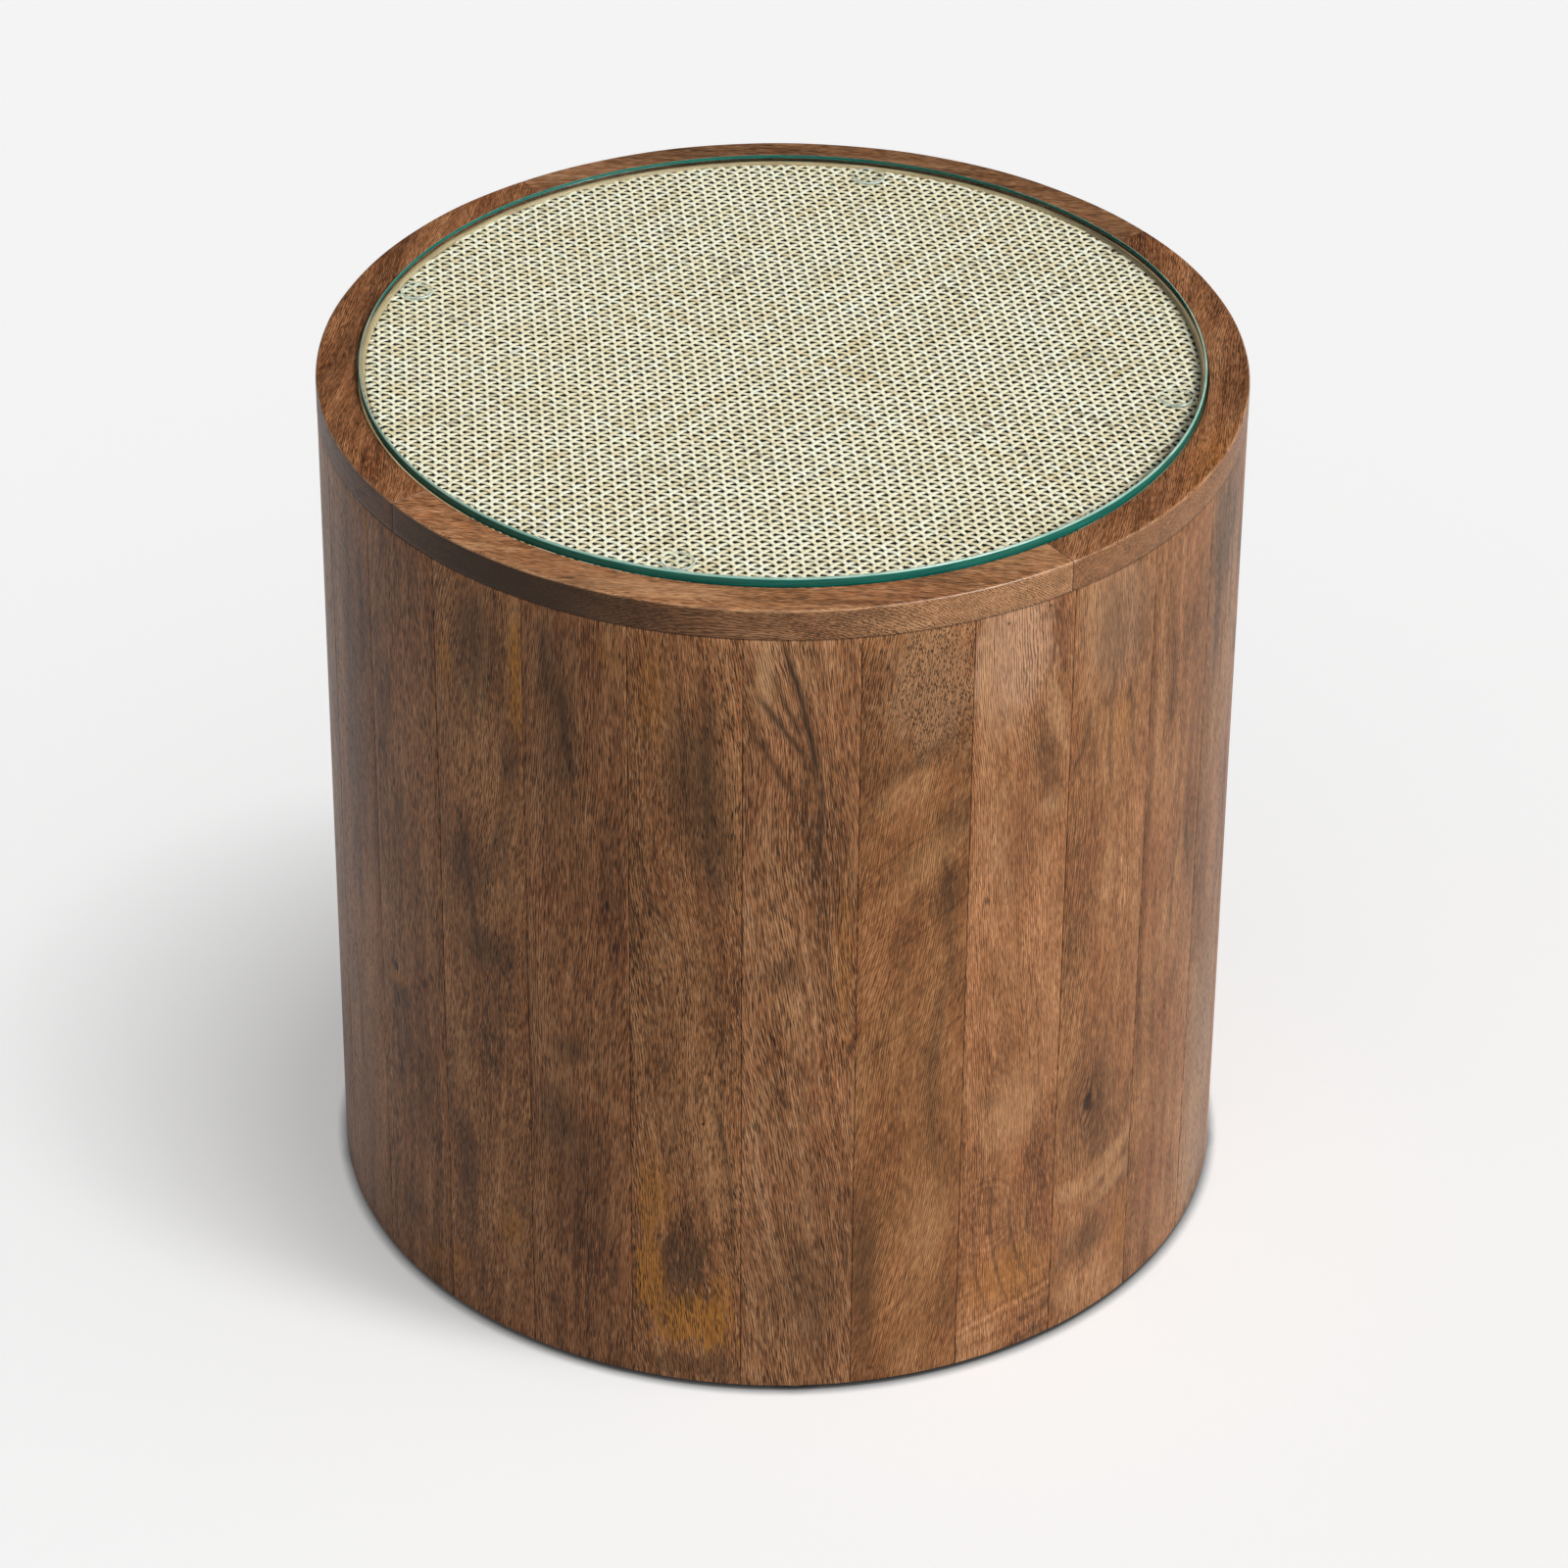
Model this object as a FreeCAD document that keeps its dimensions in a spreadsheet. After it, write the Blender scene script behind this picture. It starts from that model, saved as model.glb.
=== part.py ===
import FreeCAD, Part
import math
import os
import Sketcher
from FreeCAD import Placement, Rotation, Vector

# A drum side table: a coopered wooden drum, a rim of quarter-arc boards, and a cane panel under loose glass.
# The drum's axis is Z, the floor is z = 0, and azimuth 0 is +X.

# Driving dimensions, in millimetres and degrees
SIZES = {
    "drum_diameter": 504,
    "drum_height": 506,
    "stave_count": 26,
    "stave_thickness": 22,
    "seam_azimuth": -94.4,
    "rim_width": 22,
    "rim_thickness": 18,
    "rim_segment_count": 4,
    "rim_joint_azimuth": -53.5,
    "rim_edge_radius": 1.5,
    "dowel_diameter": 8,
    "dowel_length": 30,
    "dowel_cover": 7,
    "dowel_tongue_room": 10,
    "tongue_length": 40,
    "tongue_width": 12,
    "tongue_thickness": 4,
    "glue_gap": 0.1,
    "hole_end_room": 1,
    "housing_depth": 6,
    "ledger_thickness": 18,
    "ledger_width": 46,
    "hoop_thickness": 12,
    "hoop_width": 36,
    "hoop_height": 30,
    "panel_thickness": 13,
    "panel_clearance": 0.5,
    "spline_width": 4.2,
    "spline_height": 6,
    "spline_edge_radius": 1.4,
    "cane_thickness": 1.7,
    "cane_edge_gap": 0.3,
    "screw_count": 8,
    "screw_diameter": 4,
    "screw_cover": 3,
    "screw_head_diameter": 8,
    "screw_head_height": 2.4,
    "glass_thickness": 6,
    "glass_clearance": 1,
    "glass_edge_radius": 1.5,
    "bumper_diameter": 18,
    "bumper_thickness": 2,
    "bumper_edge_radius": 0.8,
    "bumper_inset": 15,
    "bumper_1_azimuth": -104.3,
    "bumper_2_azimuth": -10.3,
    "bumper_3_azimuth": 77,
    "bumper_4_azimuth": 160.3,
    "glide_count": 4,
    "glide_diameter": 18,
    "glide_height": 3,
    "glide_edge_radius": 1,
    "nail_diameter": 2,
    "nail_bite": 12,
    "nail_head_diameter": 5.6,
    "nail_head_height": 1,
    "nail_head_sink": 0.3,
}

# Sizes worked out from the driving ones, so that mating pieces share one value
DERIVED = {
    "drum_radius": "Sizes.drum_diameter / 2",
    "stave_length": "Sizes.drum_height - Sizes.rim_thickness",
    "stave_step": "360 / Sizes.stave_count",
    "stave_back": "drum_radius - Sizes.stave_thickness",
    "stave_back_half": "stave_back * tan(180 / Sizes.stave_count)",
    "stave_front_edge": "drum_radius * cos(180 / Sizes.stave_count)",
    "stave_front_half": "drum_radius * sin(180 / Sizes.stave_count)",
    "stave_top": "Sizes.glide_height + stave_length",
    "housing_radius": "stave_back + Sizes.housing_depth",
    "housing_inside": "stave_back - Sizes.housing_depth",
    "rim_inner": "drum_radius - Sizes.rim_width",
    "rim_middle": "drum_radius - Sizes.rim_width / 2",
    "rim_angle": "360 / Sizes.rim_segment_count",
    "dowel_circle": "(drum_radius + housing_radius) / 2",
    "dowel_radius": "Sizes.dowel_diameter / 2",
    "dowel_hole_radius": "dowel_radius + Sizes.glue_gap",
    "dowel_in_rim": "Sizes.rim_thickness - Sizes.dowel_cover",
    "dowel_bottom": "stave_top + dowel_in_rim - Sizes.dowel_length",
    "dowel_hole_in_rim": "dowel_in_rim + Sizes.hole_end_room",
    "dowel_hole_in_stave": "Sizes.dowel_length - dowel_in_rim + Sizes.hole_end_room",
    "tongue_bottom": "Sizes.rim_thickness / 2 - Sizes.tongue_thickness / 2",
    "tongue_top": "tongue_bottom + Sizes.tongue_thickness",
    "tongue_inner": "rim_middle - Sizes.tongue_width / 2",
    "tongue_outer": "rim_middle + Sizes.tongue_width / 2",
    "slot_inner": "tongue_inner - Sizes.glue_gap",
    "slot_outer": "tongue_outer + Sizes.glue_gap",
    "slot_bottom": "tongue_bottom - Sizes.glue_gap",
    "slot_top": "tongue_top + Sizes.glue_gap",
    "slot_depth": "Sizes.tongue_length / 2 + Sizes.hole_end_room",
    "hoop_outer": "housing_radius - Sizes.glue_gap",
    "ledger_inner": "hoop_outer - Sizes.ledger_width",
    "ledger_bottom": "stave_length - Sizes.ledger_thickness",
    "ledger_level": "Sizes.glide_height + ledger_bottom",
    "hoop_inner": "hoop_outer - Sizes.hoop_width",
    "hoop_top": "Sizes.hoop_height + Sizes.hoop_thickness",
    "hoop_level": "Sizes.glide_height + Sizes.hoop_height",
    "panel_radius": "rim_inner - Sizes.panel_clearance",
    "panel_shoulder": "panel_radius - Sizes.spline_width - Sizes.glue_gap",
    "panel_rebate_floor": "Sizes.panel_thickness + Sizes.cane_thickness - Sizes.spline_height",
    "spline_inner": "panel_radius - Sizes.spline_width",
    "spline_level": "stave_top + panel_rebate_floor",
    "cane_radius": "panel_shoulder - Sizes.cane_edge_gap",
    "screw_circle": "(ledger_inner + panel_shoulder) / 2",
    "screw_radius": "Sizes.screw_diameter / 2",
    "screw_hole_radius": "screw_radius + Sizes.glue_gap",
    "screw_bite": "Sizes.panel_thickness - Sizes.screw_cover",
    "screw_pilot_depth": "screw_bite + Sizes.hole_end_room",
    "screw_tip": "Sizes.screw_head_height + Sizes.ledger_thickness + screw_bite",
    "screw_point": "screw_tip - Sizes.screw_diameter",
    "screw_head_radius": "Sizes.screw_head_diameter / 2",
    "screw_level": "ledger_level - Sizes.screw_head_height",
    "glass_radius": "rim_inner - Sizes.glass_clearance",
    "glass_bottom": "cane_top + Sizes.bumper_thickness",
    "cane_bottom": "stave_top + Sizes.panel_thickness",
    "cane_top": "cane_bottom + Sizes.cane_thickness",
    "bumper_radius": "Sizes.bumper_diameter / 2",
    "bumper_circle": "glass_radius - Sizes.bumper_inset",
    "glide_radius": "Sizes.glide_diameter / 2",
    "glide_circle": "drum_radius - Sizes.stave_thickness / 2",
    "nail_radius": "Sizes.nail_diameter / 2",
    "nail_hole_radius": "nail_radius + Sizes.glue_gap",
    "nail_hole_depth": "Sizes.nail_bite + Sizes.hole_end_room",
    "nail_head_radius": "Sizes.nail_head_diameter / 2",
    "nail_recess_radius": "nail_head_radius + Sizes.glue_gap",
    "nail_recess_depth": "Sizes.nail_head_sink + Sizes.nail_head_height",
    "nail_tip": "Sizes.glide_height + Sizes.nail_bite",
    "nail_point": "nail_tip - Sizes.nail_diameter",
}

doc = FreeCAD.newDocument("drum_side_table")
sheet = doc.addObject("Spreadsheet::Sheet", "Sizes")
for row, (alias, number) in enumerate(SIZES.items(), start=1):
    sheet.set(f"A{row}", alias)
    sheet.set(f"B{row}", str(number))
    sheet.setAlias(f"B{row}", alias)
doc.recompute()

derived = doc.addObject("App::VarSet", "Derived")
for name in DERIVED:
    derived.addProperty("App::PropertyFloat", name)
for name, formula in DERIVED.items():
    derived.setExpression(name, formula)
doc.recompute()

nodes = []


def term(name):
    """The expression that stands for a named size."""
    return f"Sizes.{name}" if name in SIZES else f"Derived.{name}"


def value(name):
    """The number behind a named size."""
    return sheet.get(name) if name in SIZES else getattr(derived, name)


def place(piece, height=None, circle=None, azimuth=None):
    """Set a piece at a height, turned to an azimuth and moved out to a circle round the drum's axis."""
    if azimuth:
        piece.Placement = Placement(Vector(), Rotation(Vector(0, 0, 1), 1))
        piece.setExpression("Placement.Rotation.Angle", azimuth)
    if circle:
        piece.setExpression("Placement.Base.x", f"{term(circle)} * cos({azimuth})")
        piece.setExpression("Placement.Base.y", f"{term(circle)} * sin({azimuth})")
    if height:
        piece.setExpression("Placement.Base.z", term(height))


def new_body(label):
    body = doc.addObject("PartDesign::Body", label)
    body.Label = label
    return body


def origin_feature(body, role):
    return next(feature for feature in body.Origin.OriginFeatures if feature.Role == role)


def new_sketch(body, role, level=None):
    """An empty sketch on one of the body's own planes, raised to a named level."""
    sketch = body.newObject("Sketcher::SketchObject", f"{body.Label}_sketch")
    sketch.AttachmentSupport = [(origin_feature(body, role), "")]
    sketch.MapMode = "FlatFace"
    if level:
        sketch.setExpression("AttachmentOffset.Base.z", term(level))
    return sketch


def pin(sketch, geometry, end, x, y):
    """Tie one point of a sketch to named coordinates, where None is an axis of the sketch."""
    for kind, name, axis in (("DistanceX", x, -2), ("DistanceY", y, -1)):
        if name is None:
            sketch.addConstraint(Sketcher.Constraint("PointOnObject", geometry, end, axis))
        else:
            index = sketch.addConstraint(Sketcher.Constraint(kind, -1, 1, geometry, end, value(name)))
            sketch.setExpression(f"Constraints[{index}]", term(name))


def add_outline(sketch, corners):
    """Add a closed outline of straight lines through corners given by named coordinates."""
    first = sketch.GeometryCount
    points = [Vector(value(x) if x else 0, value(y) if y else 0, 0) for x, y in corners]
    for start, end in zip(points, points[1:] + points[:1]):
        sketch.addGeometry(Part.LineSegment(start, end), False)
    for index, (x, y) in enumerate(corners):
        following = first + (index + 1) % len(corners)
        sketch.addConstraint(Sketcher.Constraint("Coincident", first + index, 2, following, 1))
        pin(sketch, first + index, 1, x, y)


def turn(body, corners, angle=None):
    """Turn an outline of radii and heights round the Z axis, fully or through a named angle."""
    sketch = new_sketch(body, "XZ_Plane")
    add_outline(sketch, corners)
    turned = body.newObject("PartDesign::Revolution", f"{body.Label}_turned")
    turned.Profile = sketch
    turned.ReferenceAxis = (sketch, ["V_Axis"])
    turned.Angle = 360
    if angle:
        turned.setExpression("Angle", term(angle))
    doc.recompute()
    return turned


def tube_corners(inner, outer, bottom, top):
    return [(inner, bottom), (outer, bottom), (outer, top), (inner, top)]


def disc_corners(outer, top):
    return [(None, None), (outer, None), (outer, top), (None, top)]


def round_edges(body, base, radius, circles):
    """Round the circular edges that have the given named radii and heights."""
    names = []
    for number, edge in enumerate(base.Shape.Edges, start=1):
        if edge.Curve.TypeId != "Part::GeomCircle":
            continue
        for circle, height in circles:
            level = value(height) if height else 0
            same_radius = math.isclose(edge.Curve.Radius, value(circle), abs_tol=1e-6)
            if same_radius and math.isclose(edge.Curve.Center.z, level, abs_tol=1e-6):
                names.append(f"Edge{number}")
    fillet = body.newObject("PartDesign::Fillet", f"{body.Label}_rounded")
    fillet.Base = (base, names)
    fillet.setExpression("Radius", term(radius))
    doc.recompute()


def pocket(body, sketch, depth, upward):
    """Cut a sketch into the body, and make sure that the cut took material away."""
    before = body.Shape.Volume
    cut = body.newObject("PartDesign::Pocket", f"{body.Label}_pocket")
    cut.Profile = sketch
    cut.Reversed = upward
    cut.setExpression("Length", term(depth))
    doc.recompute()
    assert body.Shape.Volume < before, f"{body.Label}: the pocket cut nothing"
    return cut


def drill(body, radius, circle, depth, angle=0, level=None):
    """Drill a blind hole on a circle, up from the body's bottom or down from a named level."""
    sketch = new_sketch(body, "XY_Plane", level)
    reach = value(circle)
    centre = Vector(reach * math.cos(math.radians(angle)), reach * math.sin(math.radians(angle)), 0)
    sketch.addGeometry(Part.Circle(centre, Vector(0, 0, 1), value(radius)), False)
    for kind, ratio in (("DistanceX", f"cos({angle})"), ("DistanceY", f"sin({angle})")):
        offset = centre.x if kind == "DistanceX" else centre.y
        if math.isclose(offset, 0, abs_tol=1e-9):
            sketch.addConstraint(Sketcher.Constraint("PointOnObject", 0, 3, -1))
            continue
        index = sketch.addConstraint(Sketcher.Constraint(kind, -1, 1, 0, 3, offset))
        sketch.setExpression(f"Constraints[{index}]", f"{term(circle)} * {ratio}")
    index = sketch.addConstraint(Sketcher.Constraint("Radius", 0, value(radius)))
    sketch.setExpression(f"Constraints[{index}]", term(radius))
    return pocket(body, sketch, depth, level is None)


def repeat_round(body, feature, count):
    """Repeat a cut evenly round the Z axis."""
    pattern = body.newObject("PartDesign::PolarPattern", f"{body.Label}_pattern")
    pattern.Originals = [feature]
    pattern.Axis = (origin_feature(body, "Z_Axis"), [""])
    pattern.Angle = 360
    pattern.setExpression("Occurrences", term(count))
    body.Tip = pattern
    doc.recompute()


def keep(piece):
    nodes.append(piece)
    return piece


def group(label, members):
    """One node that holds several separate solids of the same kind."""
    bundle = doc.addObject("Part::Compound", label)
    bundle.Label = label
    bundle.Links = members
    keep(bundle)


# Places of the staves, the rim joints, the dowels and the feet

stave_count = int(value("stave_count"))
segment_count = int(value("rim_segment_count"))
glide_count = int(value("glide_count"))
stave_step = value("stave_step")
rim_angle = value("rim_angle")


def stave_azimuth(index):
    """The expression for the azimuth of a stave's middle."""
    return f"(Sizes.seam_azimuth + {index + 0.5} * Derived.stave_step)"


def angle_past_joint(index):
    """How far a stave's middle lies past a rim joint, in degrees."""
    middle = value("seam_azimuth") + (index + 0.5) * stave_step
    return (middle - value("rim_joint_azimuth")) % rim_angle


def rim_segment_over(index):
    middle = value("seam_azimuth") + (index + 0.5) * stave_step
    return int((middle - value("rim_joint_azimuth")) // rim_angle) % segment_count


# A dowel goes into each stave whose middle is clear of the tongue in the nearest rim joint.
dowel_room = value("tongue_length") / 2 + value("dowel_tongue_room")
dowel_margin = math.degrees(dowel_room / value("rim_middle"))
dowelled = [i for i in range(stave_count) if dowel_margin < angle_past_joint(i) < rim_angle - dowel_margin]
footed = [round(i * stave_count / glide_count) for i in range(glide_count)]


# The drum: staves with a flat back, bevelled sides and a turned front

def draw_stave_section(body):
    """The cross section of a stave: a flat back, two bevelled sides and the drum's outer arc."""
    sketch = new_sketch(body, "XY_Plane")
    back = value("stave_back")
    back_half = value("stave_back_half")
    front_edge = value("stave_front_edge")
    front_half = value("stave_front_half")
    half_angle = math.radians(stave_step / 2)
    circle = Part.Circle(Vector(), Vector(0, 0, 1), value("drum_radius"))
    back_left = Vector(back, back_half, 0)
    back_right = Vector(back, -back_half, 0)
    front_left = Vector(front_edge, front_half, 0)
    front_right = Vector(front_edge, -front_half, 0)
    sketch.addGeometry(Part.LineSegment(back_left, back_right), False)
    sketch.addGeometry(Part.LineSegment(back_right, front_right), False)
    sketch.addGeometry(Part.ArcOfCircle(circle, -half_angle, half_angle), False)
    sketch.addGeometry(Part.LineSegment(front_left, back_left), False)
    for first, second in ((0, 1), (1, 2), (2, 3), (3, 0)):
        sketch.addConstraint(Sketcher.Constraint("Coincident", first, 2, second, 1))
    sketch.addConstraint(Sketcher.Constraint("Coincident", 2, 3, -1, 1))
    sketch.addConstraint(Sketcher.Constraint("Symmetric", 0, 1, 0, 2, -1))
    sketch.addConstraint(Sketcher.Constraint("Symmetric", 2, 1, 2, 2, -1))
    pin(sketch, 0, 1, "stave_back", "stave_back_half")
    pin(sketch, 2, 2, "stave_front_edge", "stave_front_half")
    return sketch


def make_stave(index):
    body = new_body(f"stave_{index + 1:02d}")
    board = body.newObject("PartDesign::Pad", f"{body.Label}_board")
    board.Profile = draw_stave_section(body)
    board.setExpression("Length", term("stave_length"))
    doc.recompute()

    # The rebate for the ledger hoop and the groove for the bottom hoop, turned round the drum's axis
    housings = new_sketch(body, "XZ_Plane")
    add_outline(housings, tube_corners("housing_inside", "housing_radius", "ledger_bottom", "stave_length"))
    add_outline(housings, tube_corners("housing_inside", "housing_radius", "hoop_height", "hoop_top"))
    before = body.Shape.Volume
    groove = body.newObject("PartDesign::Groove", f"{body.Label}_housings")
    groove.Profile = housings
    groove.ReferenceAxis = (housings, ["V_Axis"])
    groove.Angle = 360
    doc.recompute()
    assert body.Shape.Volume < before, f"{body.Label}: the housings cut nothing"

    if index in dowelled:
        drill(body, "dowel_hole_radius", "dowel_circle", "dowel_hole_in_stave", level="stave_length")
    if index in footed:
        drill(body, "nail_hole_radius", "glide_circle", "nail_hole_depth")
    place(body, "glide_height", azimuth=stave_azimuth(index))
    keep(body)


for stave in range(stave_count):
    make_stave(stave)


# The rim: arc boards butted end to end on the staves, with a loose tongue across each joint

def cut_tongue_slot(body, angle, forward):
    """A slot in the end face of a rim board, at the named angle or at its start."""
    slot = new_sketch(body, "XZ_Plane")
    if angle:
        slot.AttachmentOffset = Placement(Vector(), Rotation(Vector(0, 1, 0), 1))
        slot.setExpression("AttachmentOffset.Rotation.Angle", term(angle))
    add_outline(slot, tube_corners("slot_inner", "slot_outer", "slot_bottom", "slot_top"))
    pocket(body, slot, "slot_depth", forward)


def make_rim_segment(segment):
    body = new_body(f"rim_segment_{segment + 1}")
    arc = turn(body, tube_corners("rim_inner", "drum_radius", None, "rim_thickness"), "rim_angle")
    top_edges = [("rim_inner", "rim_thickness"), ("drum_radius", "rim_thickness")]
    round_edges(body, arc, "rim_edge_radius", top_edges)
    cut_tongue_slot(body, None, False)
    cut_tongue_slot(body, "rim_angle", True)
    for index in dowelled:
        if rim_segment_over(index) == segment:
            angle = round(angle_past_joint(index), 6)
            drill(body, "dowel_hole_radius", "dowel_circle", "dowel_hole_in_rim", angle)
    place(body, "stave_top", azimuth=f"(Sizes.rim_joint_azimuth + {segment} * Derived.rim_angle)")
    keep(body)


def make_dowel(index):
    dowel = doc.addObject("Part::Cylinder", f"rim_dowel_{index + 1:02d}")
    dowel.setExpression("Radius", term("dowel_radius"))
    dowel.setExpression("Height", term("dowel_length"))
    place(dowel, "dowel_bottom", "dowel_circle", stave_azimuth(index))
    return dowel


def make_tongue(segment):
    """A flat tongue that lies across a rim joint, half of its length on each side."""
    tongue = new_body(f"rim_tongue_{segment + 1}")
    section = new_sketch(tongue, "XZ_Plane")
    add_outline(section, tube_corners("tongue_inner", "tongue_outer", "tongue_bottom", "tongue_top"))
    strip = tongue.newObject("PartDesign::Pad", f"{tongue.Label}_strip")
    strip.Profile = section
    strip.Midplane = True
    strip.setExpression("Length", term("tongue_length"))
    place(tongue, "stave_top", azimuth=f"(Sizes.rim_joint_azimuth + {segment} * Derived.rim_angle)")
    return tongue


for segment in range(segment_count):
    make_rim_segment(segment)
group("rim_dowels", [make_dowel(index) for index in dowelled])
group("rim_tongues", [make_tongue(segment) for segment in range(segment_count)])


# The hoops that keep the drum round: the ledger in the staves' top rebate and a second one near the floor

ledger = keep(new_body("ledger_hoop"))
turn(ledger, tube_corners("ledger_inner", "hoop_outer", None, "ledger_thickness"))
ledger_hole = drill(ledger, "screw_hole_radius", "screw_circle", "ledger_thickness")
repeat_round(ledger, ledger_hole, "screw_count")
place(ledger, "ledger_level")

bottom_hoop = keep(new_body("bottom_hoop"))
turn(bottom_hoop, tube_corners("hoop_inner", "hoop_outer", None, "hoop_thickness"))
place(bottom_hoop, "hoop_level")


# The cane panel: a board with a rebated edge, the cane sheet on it and the reed spline in the rebate

panel = keep(new_body("sub_top_panel"))
turn(panel, [
    (None, None),
    ("panel_radius", None),
    ("panel_radius", "panel_rebate_floor"),
    ("panel_shoulder", "panel_rebate_floor"),
    ("panel_shoulder", "panel_thickness"),
    (None, "panel_thickness"),
])
pilot = drill(panel, "screw_hole_radius", "screw_circle", "screw_pilot_depth")
repeat_round(panel, pilot, "screw_count")
place(panel, "stave_top")

cane = keep(doc.addObject("Part::Cylinder", "cane_webbing"))
cane.Label = "cane_webbing"
cane.setExpression("Radius", term("cane_radius"))
cane.setExpression("Height", term("cane_thickness"))
place(cane, "cane_bottom")

spline = keep(new_body("cane_spline"))
reed = turn(spline, tube_corners("spline_inner", "panel_radius", None, "spline_height"))
reed_top_edges = [("spline_inner", "spline_height"), ("panel_radius", "spline_height")]
round_edges(spline, reed, "spline_edge_radius", reed_top_edges)
place(spline, "spline_level")


def make_screw(index):
    """A round-headed screw, head down against the ledger, point up in the board."""
    screw = new_body(f"panel_screw_{index + 1}")
    turn(screw, [
        (None, None),
        ("screw_head_radius", None),
        ("screw_head_radius", "screw_head_height"),
        ("screw_radius", "screw_head_height"),
        ("screw_radius", "screw_point"),
        (None, "screw_tip"),
    ])
    place(screw, "screw_level", "screw_circle", f"({index} * 360 / Sizes.screw_count)")
    return screw


group("panel_screws", [make_screw(index) for index in range(int(value("screw_count")))])


# The loose glass and the bumpers stuck under it

glass = keep(new_body("glass_top"))
plate = turn(glass, disc_corners("glass_radius", "glass_thickness"))
round_edges(glass, plate, "glass_edge_radius", [("glass_radius", None), ("glass_radius", "glass_thickness")])
place(glass, "glass_bottom")

for number in (1, 2, 3, 4):
    bumper = keep(new_body(f"bumper_{number}"))
    pad = turn(bumper, disc_corners("bumper_radius", "bumper_thickness"))
    round_edges(bumper, pad, "bumper_edge_radius", [("bumper_radius", None)])
    place(bumper, "cane_top", "bumper_circle", f"Sizes.bumper_{number}_azimuth")


# The feet: plastic discs under four staves, each held by a nail whose head is sunk in the disc

def make_nail(number, index):
    nail = new_body(f"glide_nail_{number}")
    turn(nail, [
        (None, "nail_head_sink"),
        ("nail_head_radius", "nail_head_sink"),
        ("nail_head_radius", "nail_recess_depth"),
        ("nail_radius", "nail_recess_depth"),
        ("nail_radius", "nail_point"),
        (None, "nail_tip"),
    ])
    place(nail, None, "glide_circle", stave_azimuth(index))
    return nail


for number, index in enumerate(footed, start=1):
    glide = keep(new_body(f"glide_{number}"))
    disc = turn(glide, [
        ("nail_recess_radius", None),
        ("glide_radius", None),
        ("glide_radius", "glide_height"),
        ("nail_hole_radius", "glide_height"),
        ("nail_hole_radius", "nail_recess_depth"),
        ("nail_recess_radius", "nail_recess_depth"),
    ])
    round_edges(glide, disc, "glide_edge_radius", [("glide_radius", None)])
    place(glide, None, "glide_circle", stave_azimuth(index))
group("glide_nails", [make_nail(number, index) for number, index in enumerate(footed, start=1)])


# Every object has to be sound before any piece is written.

doc.recompute()
for item in doc.Objects:
    assert not {"Invalid", "Error"} & set(item.State), f"{item.Label}: {item.State}"
for piece in nodes:
    assert not piece.Shape.isNull() and piece.Shape.isValid(), f"{piece.Label}: bad shape"

os.makedirs("parts", exist_ok=True)
for piece in nodes:
    piece.Shape.exportStep(f"parts/{piece.Label}.step")
print(len(nodes), "pieces written")
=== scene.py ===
from math import cos, pi, radians, sin

import bmesh
import bpy
import numpy as np
from mathutils import Matrix, Vector


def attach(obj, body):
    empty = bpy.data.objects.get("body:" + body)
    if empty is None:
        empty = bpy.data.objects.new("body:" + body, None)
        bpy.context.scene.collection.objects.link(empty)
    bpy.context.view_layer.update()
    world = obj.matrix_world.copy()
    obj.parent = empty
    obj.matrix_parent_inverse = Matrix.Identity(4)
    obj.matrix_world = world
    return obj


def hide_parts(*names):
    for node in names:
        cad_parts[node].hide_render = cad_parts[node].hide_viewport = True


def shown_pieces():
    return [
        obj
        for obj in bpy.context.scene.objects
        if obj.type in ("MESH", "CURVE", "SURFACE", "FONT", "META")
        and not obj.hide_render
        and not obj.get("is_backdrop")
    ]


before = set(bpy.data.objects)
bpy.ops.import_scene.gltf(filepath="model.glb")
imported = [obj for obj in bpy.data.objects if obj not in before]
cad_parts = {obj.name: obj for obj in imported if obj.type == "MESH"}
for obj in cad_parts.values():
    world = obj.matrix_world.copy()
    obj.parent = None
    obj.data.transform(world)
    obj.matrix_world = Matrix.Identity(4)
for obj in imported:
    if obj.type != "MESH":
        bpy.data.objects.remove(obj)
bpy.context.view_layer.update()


# Staves: twenty-six upright mango boards, bevelled and glued edge to edge into the drum.
# Each front is turned round and its corners are eased, so a fine V shows at every seam, and
# the flat backs have two housings cut in them for the hoops. Satin lacquer over a brown oil.
mm = 0.001
stave_count = 26
stave_half = pi / stave_count
stave_start = radians(-94.4)
stave_front = 252 * mm
stave_back = 230 * mm
stave_foot, stave_head = 3 * mm, 491 * mm
stave_ease = 0.5 * mm
glue_line = 0.06 * mm
end_ease = 0.35 * mm
hoop_housing = 236 * mm
groove_low, groove_high = 33 * mm, 45 * mm
rebate_low = 473 * mm
crease = radians(42)
quarter = np.radians([0, 30, 60, 90])


def stave_outline(inset, housed):
    """Angles and radii round one stave, seen from above, from its left corner to its back."""
    ease = stave_ease / stave_front
    reach = stave_half - (inset + glue_line) / stave_front
    corner = reach - ease + ease * np.sin(quarter)
    rounding = stave_front - inset - stave_ease + stave_ease * np.cos(quarter)
    front = np.linspace(ease - reach, reach - ease, 21)[1:-1]
    front_radius = np.full_like(front, stave_front - inset)
    back = np.linspace(reach, -reach, 7)
    back_radius = np.full_like(back, hoop_housing) if housed else stave_back / np.cos(back)
    angles = np.concatenate([-corner[::-1], front, corner, back])
    radii = np.concatenate([rounding[::-1], front_radius, rounding, back_radius])
    return angles, radii


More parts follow.
